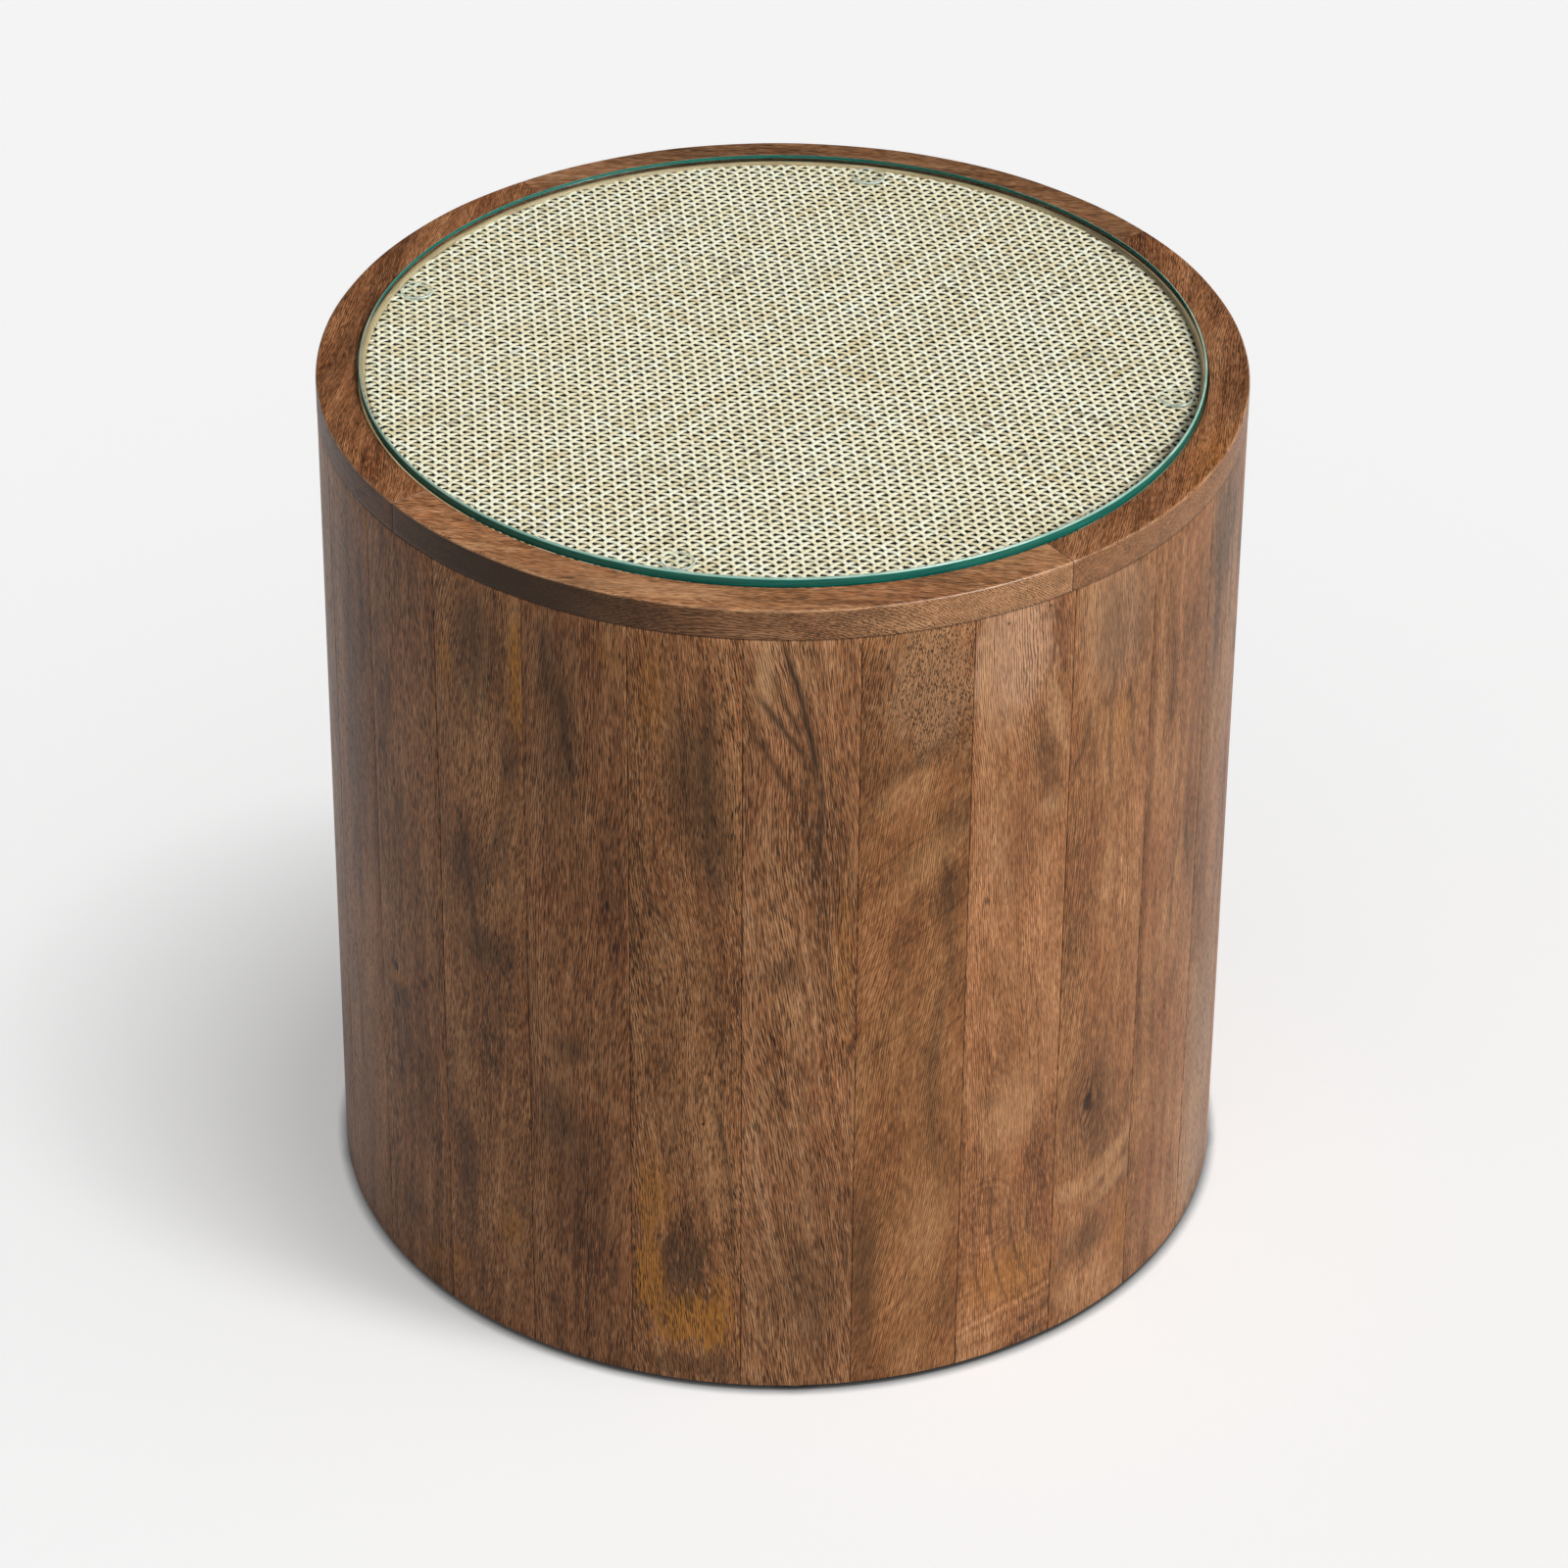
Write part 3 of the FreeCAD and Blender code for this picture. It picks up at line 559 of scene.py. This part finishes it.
# The same for each rim segment, with places across its top and along its chord. Along its outer
# side, the smoke side stains are painted shade and the blond ones painted highlight.
rim_looks = {
    0: {"tone": (0.72, 0.64, 0.62),
        "painted_side_light": (("blond", 0, 140, 0.35), ("blond", -150, 50, 0.3)),
        "stains": (("amber", 0, -80, 14, 50, 0.3, 0.3), ("smoke", 3, 40, 12, 70, 0.3, 0.4),
                   ("smoke", -4, 120, 12, 40, 0.2, 0.3))},
    # The back segment's greyer, cooler tone is a painted sheen of the pale backdrop on its lacquer.
    1: {"tone": (0.68, 0.69, 0.73),
        "painted_side_light": (("smoke", 0, 200, 0.2),)},
    2: {"tone": (0.68, 0.59, 0.55),
        "painted_side_light": (("smoke", 160, 120, 0.5),)},
    3: {"tone": (1.0, 0.97, 0.99),
        "painted_side_light": (("smoke", -120, 120, 0.97), ("blond", 145, 60, 0.45)),
        "stains": (("smoke", 0, 160, 14, 30, 0.3, 0.3), ("smoke", -4, -90, 9, 40, 0.2, 0.4),
                   ("blond", -3, -30, 7, 40, 0.3, 0.3))},
}
trims = list(zip(end_rise / rim_outer, end_inset))
for index in range(4):
    node_name = f"rim_segment_{index + 1}"
    first = rim_start + index * rim_sweep
    stations = [(first + trim, inset) for trim, inset in trims]
    stations += [(angle, 0) for angle in np.linspace(first, first + rim_sweep, 92)[1:-1]]
    stations += [(first + rim_sweep - trim, inset) for trim, inset in trims[::-1]]
    rings = []
    for angle, inset in stations:
        wear = 1 + 0.12 * sin(angle * 9 + index) + 0.08 * sin(angle * 23)
        heights, radii = rim_outline(inset, wear)
        rings.append(np.column_stack([radii * cos(angle), radii * sin(angle), heights]))
    rim = loft("wood_" + node_name, rings)
    middle = first + rim_sweep / 2
    lie = Matrix.Rotation(pi / 2, 3, "X") @ Matrix.Rotation(-middle, 3, "Z")
    look = {"hatch": 0.75, "vessel": 6.0, "mottle": 0.22, "stains": [
        (bench.choice(common_stains), bench.uniform(-20, 20), bench.uniform(-180, 180),
         bench.uniform(4, 9), bench.uniform(10, 40), bench.uniform(0.2, 0.4), 0.2)
        for _ in range(4)]}
    look.update(rim_looks[index])
    finish = mango_finish("mango_" + node_name, lie, (-rim_path, rim_high / mm, 0),
                          40 + index, groove=rim_groove, **look)
    rim.data.materials.append(finish)
    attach(rim, "drum")
    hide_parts(node_name)


# Hoops: a ledger under the rim and a hoop near the foot, both routed from birch plywood and
# glued into the stave housings. Their edges show the plies as pale and brown lines.
ply_thickness = 1.5


def plywood_finish(name, low):
    finish, flow = new_finish(name)
    place = board_place(flow, origin=(0, 0, -low))
    layers = flow.node("SeparateXYZ", {}, {"Vector": place}).beside(2) / ply_thickness
    ply = layers.maths("FRACT", layers)
    glue = 1 - rise(ply, 0.02, 0.12) * (1 - rise(ply, 0.88, 0.98))
    figure = cloud(place, (0.02, 0.3, 0.5), 3.0) + cloud(place, (0.2, 1.5, 1.5), 2.0) * 0.6
    colour = ramp(figure + 0.5, (0.3, (0.40, 0.27, 0.14)), (0.7, (0.60, 0.45, 0.27)))
    colour = tint(colour, (0.10, 0.05, 0.025, 1), glue)
    cover(flow, {"Base Color": colour, "Roughness": 0.62 + figure * 0.2,
                 "Normal": relief(figure - glue, 0.3, 0.0003)})
    return finish


def dress(node_name, finish):
    """Give a CAD piece whose shape is right its finish."""
    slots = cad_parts[node_name].data.materials
    slots.clear()
    slots.append(finish)


dress("ledger_hoop", plywood_finish("ledger_plywood", rebate_low / mm))
dress("bottom_hoop", plywood_finish("hoop_plywood", groove_low / mm))


# Dowels and tongues: beech pins that hold the rim down on the staves, and loose beech tongues
# across the four rim joints. They are glued in and hidden.
beech, flow = new_finish("beech_pins")
place = board_place(flow)
figure = cloud(place, (0.5, 0.5, 0.06), 2.0)
fleck = rise(cloud(place, (1.6, 1.6, 0.35), 1.0), 0.1, 0.2)
colour = ramp(figure + 0.5, (0.3, (0.48, 0.29, 0.15)), (0.7, (0.62, 0.42, 0.25)))
colour = tint(colour, (0.36, 0.19, 0.09, 1), fleck * 0.7)
cover(flow, {"Base Color": colour, "Roughness": 0.6 + figure * 0.2,
             "Normal": relief(figure - fleck, 0.2, 0.0003)})
dress("rim_dowels", beech)
dress("rim_tongues", beech)


# Sub-top: a round board screwed to the ledger from below, stained dark, with a rebate at its
# edge for the reed that holds the cane. Its near-black colour also stands in for the shade down in
# the holes of the cane.
board, flow = new_finish("stained_board_and_hole_shade")
place = board_place(flow)
stain = cloud(place, (0.15, 0.02, 0.1), 3.0) + cloud(place, (1.2, 1.2, 1.2), 2.0) * 0.5
colour = ramp(stain + 0.5, (0.25, (0.004, 0.003, 0.002)), (0.75, (0.014, 0.010, 0.006)))
cover(flow, {"Base Color": colour, "Roughness": 0.7 + stain * 0.2,
             "Normal": relief(stain, 0.25, 0.0003)})
dress("sub_top_panel", board)


# Screws and nails: plated steel wood screws that hold the sub-top to the ledger, and the
# small nails through the glides.
steel, flow = new_finish("plated_steel")
scuff = cloud(board_place(flow), (0.9, 0.9, 0.4), 3.0)
colour = ramp(scuff + 0.5, (0.3, (0.42, 0.41, 0.38)), (0.7, (0.62, 0.60, 0.55)))
cover(flow, {"Base Color": colour, "Metallic": 1.0, "Roughness": 0.34 + scuff * 0.3})
dress("panel_screws", steel)
dress("glide_nails", steel)


# Cane: a plain weave of flat rattan strands, over one and under one, laid askew across the
# sub-top. The ends are pressed down into the rebate under the reed.
cane_edge = 225.2 * mm
cane_middle = 504.85 * mm
first_turn, first_pitch = radians(49.8), 4.84 * mm
second_turn, second_pitch = radians(-41), 4.98 * mm
strand_lift = 0.4 * mm
tuck_width, tuck_drop = 2.5 * mm, 0.35 * mm
first_across = np.array([cos(first_turn), sin(first_turn)])
second_across = np.array([cos(second_turn), sin(second_turn)])
second_along = np.array([-second_across[1], second_across[0]])
from_lines = np.linalg.inv(np.array([first_across / first_pitch, second_across / second_pitch]))
second_bow = 0.3
strand_section = np.array([(-1.25, 0.0), (-0.96, 0.22), (0.96, 0.22), (1.25, 0.0), (0, -0.25)]) * mm
section_share = np.array([0.02, 0.12, 0.88, 0.98, 0.5])
corners = len(strand_section)
farthest = 60
rings_per_crossing = 4


def weave_place(first, second):
    """Where a strand number of the first set meets a strand number of the second."""
    flat = np.column_stack([first, second]) @ from_lines.T
    run = flat @ second_along
    return flat - np.outer(second_bow / 2 * run * run, second_across)


def strand_line(number, is_first):
    """Strand numbers of the other set along one strand, from edge to edge of the panel."""
    tries = np.linspace(-farthest, farthest, 2401)
    fixed = np.full_like(tries, number)
    flat = weave_place(fixed, tries) if is_first else weave_place(tries, fixed)
    inside = tries[np.hypot(*flat.T) < cane_edge]
    if len(inside) < 40:
        return None
    count = int((inside[-1] - inside[0]) * rings_per_crossing) + 2
    return np.linspace(inside[0], inside[-1], count)


def cane_finish(name):
    """Bleached rattan skin: straw, with fine lengthwise fibres, a few tan runs and brown spots."""
    finish, flow = new_finish(name)
    lay = flow.node("UVMap", {"uv_map": "lay"}, {})
    length = flow.node("SeparateXYZ", {}, {"Vector": lay})
    counted = length.beside(1)
    number = counted.maths("FLOOR", counted)
    share = counted - number
    run = flow.node("CombineXYZ", {}, {0: length, 1: number * 7.31, 2: share})
    luck = flow.node("TexWhiteNoise", {"noise_dimensions": "1D"}, {"W": number})
    fibre = cloud(run, (0.06, 1.0, 9.0), 2.0)
    drift = cloud(run, (0.018, 1.0, 0.0), 2.0)
    spot = cloud(run, (0.09, 1.0, 0.6), 2.0)
    colour = ramp(0.52 + fibre * 0.5 + drift * 0.9 + (luck - 0.5) * 0.3,
                  (0.15, (0.76, 0.57, 0.32)), (0.5, (0.97, 0.85, 0.63)), (0.85, (1.0, 0.95, 0.82)))
    slantwise = board_place(flow, Matrix.Rotation(-second_turn, 3, "Z"))
    weathered = rise(cloud(slantwise, (0.05, 0.02, 0.0), 3.0, 0.65), 0.02, 0.2)
    colour = tint(colour, (0.70, 0.54, 0.30, 1), weathered * 0.4)
    tan_run = rise(drift + weathered * 0.06, 0.12, 0.2) * rise(luck, 0.3, 0.6)
    colour = tint(colour, (0.40, 0.28, 0.15, 1), tan_run * 0.75)
    brown_spot = rise(spot, 0.2, 0.3) * rise(luck, 0.2, 0.6)
    colour = tint(colour, (0.30, 0.22, 0.13, 1), brown_spot * 0.55)
    edge = 1 - rise(share, 0.0, 0.12) * (1 - rise(share, 0.88, 1.0))
    colour = tint(colour, (0.50, 0.40, 0.22, 1), edge * 0.4)
    cover(flow, {"Base Color": colour, "Roughness": 0.48 + fibre * 0.2,
                 "Normal": relief(fibre, 0.3, 0.0002)})
    return finish


weaver = np.random.default_rng(92)


def weave_strand(number, others, is_first):
    """One strand's corners, and how far along and across the strand each of them lies."""
    wander = weaver.uniform(-0.03, 0.03) + 0.03 * np.sin(
        others / weaver.uniform(4, 9) + weaver.uniform(0, 6))
    line = np.full_like(others, number) + wander
    flat = weave_place(line, others) if is_first else weave_place(others, line)
    heading = np.gradient(flat, axis=0)
    heading /= np.linalg.norm(heading, axis=1)[:, None]
    sideways = np.column_stack([-heading[:, 1], heading[:, 0]])
    height = strand_lift * np.cos(pi * (others + number)) * (1 if is_first else -1)
    tuck = np.clip((np.hypot(*flat.T) - (cane_edge - tuck_width)) / tuck_width, 0, 1)
    height = cane_middle + height * (1 - tuck) - tuck_drop * tuck
    breadth = weaver.uniform(0.94, 1.04)
    rings = np.zeros((len(others), corners, 3))
    rings[:, :, :2] = flat[:, None] + sideways[:, None] * strand_section[None, :, :1] * breadth
    rings[:, :, 2] = height[:, None] + strand_section[None, :, 1]
    steps = np.linalg.norm(np.diff(flat, axis=0), axis=1)
    laid = np.zeros((len(others), corners, 2))
    laid[:, :, 0] = np.concatenate([[0], np.cumsum(steps)])[:, None] / mm
    laid[:, :, 1] = number + farthest + section_share
    return rings.reshape(-1, 3), laid.reshape(-1, 2)


def strand_faces(start, count):
    """Quads from ring to ring of one strand, and its two cut ends."""
    at = start + corners * np.arange(count - 1)[:, None]
    near = np.arange(corners)[None]
    far = (near + 1) % corners
    quads = np.stack([at + far, at + near, at + near + corners, at + far + corners], -1)
    last = start + corners * count - 1
    ends = [[start + k for k in range(corners)], [last - k for k in range(corners)]]
    return quads.reshape(-1, 4).tolist() + ends


straw = cane_finish("bleached_rattan")
for is_first in (True, False):
    for half, numbers in (("near", range(-48, 0)), ("far", range(0, 49))):
        points, laid, faces = [], [], []
        total = 0
        for number in numbers:
            others = strand_line(number, is_first)
            if others is None:
                continue
            strand_points, strand_laid = weave_strand(number, others, is_first)
            points.append(strand_points)
            laid.append(strand_laid)
            faces += strand_faces(total, len(others))
            total += corners * len(others)
        points, laid = np.concatenate(points), np.concatenate(laid)
        name = f"cane_{'first' if is_first else 'second'}_{half}"
        mesh = bpy.data.meshes.new(name)
        mesh.from_pydata(points.tolist(), [], faces)
        corner = np.zeros(len(mesh.loops), int)
        mesh.loops.foreach_get("vertex_index", corner)
        low, high = points[:, :2].min(0), points[:, :2].max(0)
        flat_map = 0.01 + 0.98 * (points[:, :2] - low) / (high - low)
        for map_name, map_places in (("OFBake", flat_map), ("lay", laid)):
            layer = mesh.uv_layers.new(name=map_name)
            layer.data.foreach_set("uv", map_places[corner].astype(np.float32).ravel())
        mesh.shade_smooth()
        cane = bpy.data.objects.new(name, mesh)
        bpy.context.collection.objects.link(cane)
        cane.data.materials.append(straw)
        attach(cane, "drum")
        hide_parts("cane_webbing")


# Reed: one length of round-topped rattan core, soaked, driven into the rebate over the cut
# ends of the cane and butted to itself at the back.
reed_inner, reed_outer = 225.35 * mm, 229.45 * mm
reed_low, reed_high = 499.75 * mm, 505.65 * mm
reed_joint, joint_half = radians(112), 0.0004
reed_crown = 1.3 * mm
reed_sag = 0.12 * mm
reed_path = 228
over = np.radians(np.linspace(0, 180, 11))
reed_half = (reed_outer - reed_inner) / 2
rings = []
for angle in np.linspace(reed_joint + joint_half, reed_joint + 2 * pi - joint_half, 361):
    sag = reed_sag * (1 + sin(angle * 7) * 0.6 + sin(angle * 17 + 2) * 0.4)
    rounded = (reed_inner + reed_outer) / 2 - reed_half * np.cos(over)
    radii = np.concatenate([rounded, [reed_outer, reed_inner]])
    top = reed_high - reed_crown + reed_crown * np.sin(over) - sag
    heights = np.concatenate([top, [reed_low, reed_low]])
    rings.append(np.column_stack([radii * cos(angle), radii * sin(angle), heights]))
reed = loft("reed_ring", rings)
core, flow = new_finish("rattan_core")
place = board_place(flow)
level_place = flow.node("VectorMath", {"operation": "MULTIPLY"}, {0: place, 1: (1, 1, 0)})
out = flow.node("VectorMath", {"operation": "LENGTH"}, {0: level_place}, 1)
east = flow.node("SeparateXYZ", {}, {"Vector": place})
round_about = east.maths("ARCTAN2", east.beside(1), east)
run = flow.node("CombineXYZ", {}, {0: out, 1: round_about * reed_path, 2: east.beside(2)})
fibre = cloud(run, (2.4, 0.05, 2.4), 2.0) + cloud(run, (0.1, 0.03, 0.1), 2.0) * 0.7
colour = ramp(fibre + 0.5, (0.25, (0.25, 0.165, 0.08)), (0.5, (0.43, 0.31, 0.165)),
              (0.8, (0.58, 0.45, 0.27)))
cover(flow, {"Base Color": colour, "Roughness": 0.55 + fibre * 0.2,
             "Normal": relief(fibre, 0.3, 0.0003)})
reed.data.materials.append(core)
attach(reed, "drum")
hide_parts("cane_spline")


# Bumpers: four clear self-stick discs under the glass that keep it off the cane and stop it
# from sliding.
bumper_radius, bumper_round = 9 * mm, 0.9 * mm
bumper_low, bumper_high = 505.72 * mm, 507.68 * mm
bumper_ring = 214 * mm
bumper_turns = (-104.3, -10.3, 77, 160.3)


def disc(name, middle, radius, low, high, foot, crown, around):
    """A flat round piece with its lower and upper edges rounded over."""
    bend = np.radians(np.linspace(0, 90, 7))
    lip = 0.15 * mm
    levels = [(low, radius - foot - lip)]
    levels += [(low + foot * (1 - cos(turn)), radius - foot * (1 - sin(turn))) for turn in bend]
    levels += [(high - crown * (1 - cos(turn)), radius - crown * (1 - sin(turn)))
               for turn in bend[::-1]]
    levels += [(high, radius - crown - lip)]
    turn = np.linspace(0, 2 * pi, around, endpoint=False)
    return loft(name, [
        np.column_stack([middle[0] + out * np.cos(turn), middle[1] + out * np.sin(turn),
                         np.full(around, level)]) for level, out in levels])


def clear_finish(name, bend, rough, soak=None):
    """See-through stock: lamp light passes straight through, everything else is bent by it."""
    finish, flow = new_finish(name)
    light = flow.node("LightPath", {}, {})
    shadow, bounce = light.beside(1), light.beside(2)
    body = flow.node("BsdfPrincipled", {}, {
        "Base Color": (1, 1, 1, 1), "Roughness": rough, "IOR": bend, "Transmission Weight": 1.0})
    through = flow.node("BsdfTransparent", {}, {"Color": (0.97, 0.985, 0.98, 1)})
    surface = flow.node("MixShader", {}, {
        0: shadow.maths("MAXIMUM", shadow, bounce), 1: body, 2: through})
    sockets = {"Surface": surface}
    if soak:
        sockets["Volume"] = flow.node("VolumeAbsorption", {}, {
            "Color": (*soak[0], 1), "Density": soak[1]})
    flow.node("OutputMaterial", {}, sockets)
    return finish


bumper_clear = clear_finish("clear_bumper_rubber", 1.45, 0.04)
# The rounded edges of each bumper get a pale, half see-through finish: a painted highlight.
bumper_edge_highlight, flow = new_finish("bumper_edge_highlight")
bumper_highlight_noise = cloud(board_place(flow), (0.5, 0.5, 0.5), 2.0)
colour = ramp(bumper_highlight_noise + 0.5, (0.3, (0.70, 0.80, 0.72)), (0.7, (0.86, 0.93, 0.86)))
bumper_painted_highlight = flow.node("BsdfPrincipled", {}, {"Base Color": colour, "Roughness": 0.2 + bumper_highlight_noise * 0.1})
through = flow.node("BsdfTransparent", {}, {})
flow.node("OutputMaterial", {}, {
    "Surface": flow.node("MixShader", {}, {0: 0.45, 1: bumper_painted_highlight, 2: through})})
for index, turn in enumerate(bumper_turns):
    middle = (bumper_ring * cos(radians(turn)), bumper_ring * sin(radians(turn)))
    bumper = disc(f"clear_bumper_{index + 1}", middle, bumper_radius, bumper_low, bumper_high,
                  bumper_round, bumper_round, 64)
    bumper.data.materials.append(bumper_clear)
    bumper.data.materials.append(bumper_edge_highlight)
    for face in bumper.data.polygons:
        face.material_index = int(abs(face.normal.z) < 0.9)
    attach(bumper, "glass")
    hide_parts(f"bumper_{index + 1}")


# Glass: a 6 mm disc of clear float glass with ground and polished edges. It lies loose on the
# bumpers, low enough in the rim to be held, and the long way through it makes its edge green.
# The pale upper rounding of its edge is a painted highlight.
glass_radius = 229 * mm
glass_low, glass_high = 507.7 * mm, 513.7 * mm
glass_foot, glass_crown = 1.0 * mm, 1.5 * mm
glass = disc("glass_disc", (0, 0), glass_radius, glass_low, glass_high,
             glass_foot, glass_crown, 512)
glass.data.materials.append(clear_finish("float_glass", 1.52, 0.0, ((0.1, 0.87, 0.79), 5.0)))
edge, flow = new_finish("polished_glass_edge")
sheen = cloud(board_place(flow), (0.05, 0.05, 0.9), 2.0)
colour = ramp(sheen + 0.5, (0.25, (0.003, 0.090, 0.070)), (0.75, (0.010, 0.170, 0.130)))
cover(flow, {"Base Color": colour, "Roughness": 0.12 + sheen * 0.1})
glass.data.materials.append(edge)
# The upper rounding of the glass edge gets a pale opaque finish: a painted highlight.
arris, flow = new_finish("glass_arris_painted_highlight")
arris_highlight_noise = cloud(board_place(flow), (0.08, 0.08, 0.9), 2.0)
colour = ramp(arris_highlight_noise + 0.5, (0.25, (0.14, 0.32, 0.26)), (0.75, (0.34, 0.50, 0.42)))
cover(flow, {"Base Color": colour, "Roughness": 0.25 + arris_highlight_noise * 0.1})
glass.data.materials.append(arris)
for face in glass.data.polygons:
    if -0.98 < face.normal.z < 0.97:
        face.material_index = 1 if face.normal.z < 0.45 else 2
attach(glass, "glass")
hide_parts("glass_top")


# Glides: four moulded nylon feet, each nailed up into a stave so that the wood stands just
# clear of the floor.
nylon, flow = new_finish("glide_nylon")
scuff = cloud(board_place(flow), (0.4, 0.4, 0.4), 3.0)
colour = ramp(scuff + 0.5, (0.3, (0.10, 0.075, 0.055)), (0.7, (0.17, 0.13, 0.10)))
cover(flow, {"Base Color": colour, "Roughness": 0.5 + scuff * 0.25,
             "Normal": relief(scuff, 0.15, 0.0002)})
for index in range(4):
    dress(f"glide_{index + 1}", nylon)


# Floor: a wide plain sheet of pale matt board, as in a product studio. It shows pale to the
# camera and in the glass, and throws less light back up at the drum.
floor_half = 30
floor_pale, floor_glow, floor_thrown = 0.8, 0.31, 0.52
contact_reach = 7 * mm
floor_mesh = bpy.data.meshes.new("floor")
floor_mesh.from_pydata([(-floor_half, -floor_half, 0), (floor_half, -floor_half, 0),
                        (floor_half, floor_half, 0), (-floor_half, floor_half, 0)],
                       [], [(0, 1, 2, 3)])
floor = bpy.data.objects.new("floor", floor_mesh)
bpy.context.collection.objects.link(floor)
pale, flow = new_finish("pale_floor")
straight = flow.node("LightPath", {}, {})
shiny, clear = straight.beside(3), straight.beside(6)
seen = straight.maths("MAXIMUM", straight.maths("MAXIMUM", straight, shiny), clear)
# Ambient occlusion darkens the floor's colour and glow close under and beside the drum: a painted
# contact shadow.
openness = flow.node("AmbientOcclusion", {"samples": 8}, {"Distance": contact_reach}, 1)
openness = openness * openness
shown = flow.node("AddShader", {}, {
    0: flow.node("BsdfDiffuse", {}, {"Color": openness * floor_pale}),
    1: flow.node("Emission", {}, {"Color": openness * floor_glow, "Strength": 1.0})})
thrown = flow.node("BsdfDiffuse", {}, {"Color": (floor_thrown, floor_thrown, floor_thrown, 1)})
flow.node("OutputMaterial", {}, {
    "Surface": flow.node("MixShader", {}, {0: seen, 1: thrown, 2: shown})})
floor_mesh.materials.append(pale)
floor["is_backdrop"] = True


# Light: a soft studio glow from the front right with a weaker one low behind, a soft lamp from
# the right that models the drum, and four steeper lamps that lay its shadow on the floor.
def toward(turn, height):
    return Vector((cos(radians(turn)) * cos(radians(height)),
                   sin(radians(turn)) * cos(radians(height)),
                   sin(radians(height))))


def facing(flow, turn, height):
    """How nearly a view direction points at one part of the studio's walls."""
    return flow.node("VectorMath", {"operation": "DOT_PRODUCT"}, {
        0: flow.node("TexCoord", {}, {}, 0), 1: toward(turn, height)}, 1)


studio = bpy.data.worlds.new("studio")
studio.use_nodes = True
studio.node_tree.nodes.clear()
flow = Flow(studio.node_tree)
front_glow = rise(facing(flow, -60, 15), -0.6, 0.8) * 0.5
back_glow = rise(facing(flow, 155, 0), 0.3, 1.0) * 0.16
flow.node("OutputWorld", {}, {"Surface": flow.node("Background", {}, {
    "Color": 0.035 + front_glow + back_glow, "Strength": 1.0})})
bpy.context.scene.world = studio
table_pieces = bpy.data.collections.new("table_pieces")
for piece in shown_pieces():
    table_pieces.objects.link(piece)
stage_pieces = bpy.data.collections.new("stage_pieces")
stage_pieces.objects.link(floor)
lamps = [("side_lamp", -30, 50, 3.8, 24, table_pieces)]
lamps += [(f"shadow_lamp_{step + 1}", -21, 66 + 6 * step, 0.34, 7, stage_pieces)
          for step in range(4)]
for name, turn, height, power, width, lit in lamps:
    lamp = bpy.data.lights.new(name, "SUN")
    lamp.energy = power
    lamp.angle = radians(width)
    holder = bpy.data.objects.new(name, lamp)
    holder.rotation_mode = "QUATERNION"
    holder.rotation_quaternion = (-toward(turn, height)).to_track_quat("-Z", "Y")
    holder.light_linking.receiver_collection = lit
    bpy.context.collection.objects.link(holder)


# Camera: a long lens, high in front of the table, rolled very slightly as in the photograph.
stand = Vector((0, -2.8543, 2.1520))
aim = Vector((0.00244, 0, 0.2341))
ahead = (aim - stand).normalized()
level = ahead.cross(Vector((0, 0, 1))).normalized()
above = level.cross(ahead)
roll = radians(0.469)
right = cos(roll) * level + sin(roll) * above
top = cos(roll) * above - sin(roll) * level
camera = bpy.data.objects.new("camera", bpy.data.cameras.new("camera"))
camera.data.lens = 139.66
camera.data.sensor_width = 36
camera.data.clip_end = 100
facing_turn = Matrix((right, top, -ahead)).transposed().to_4x4()
camera.matrix_world = Matrix.Translation(stand) @ facing_turn
bpy.context.collection.objects.link(camera)
bpy.context.scene.camera = camera
bpy.context.scene.view_settings.view_transform = "Standard"
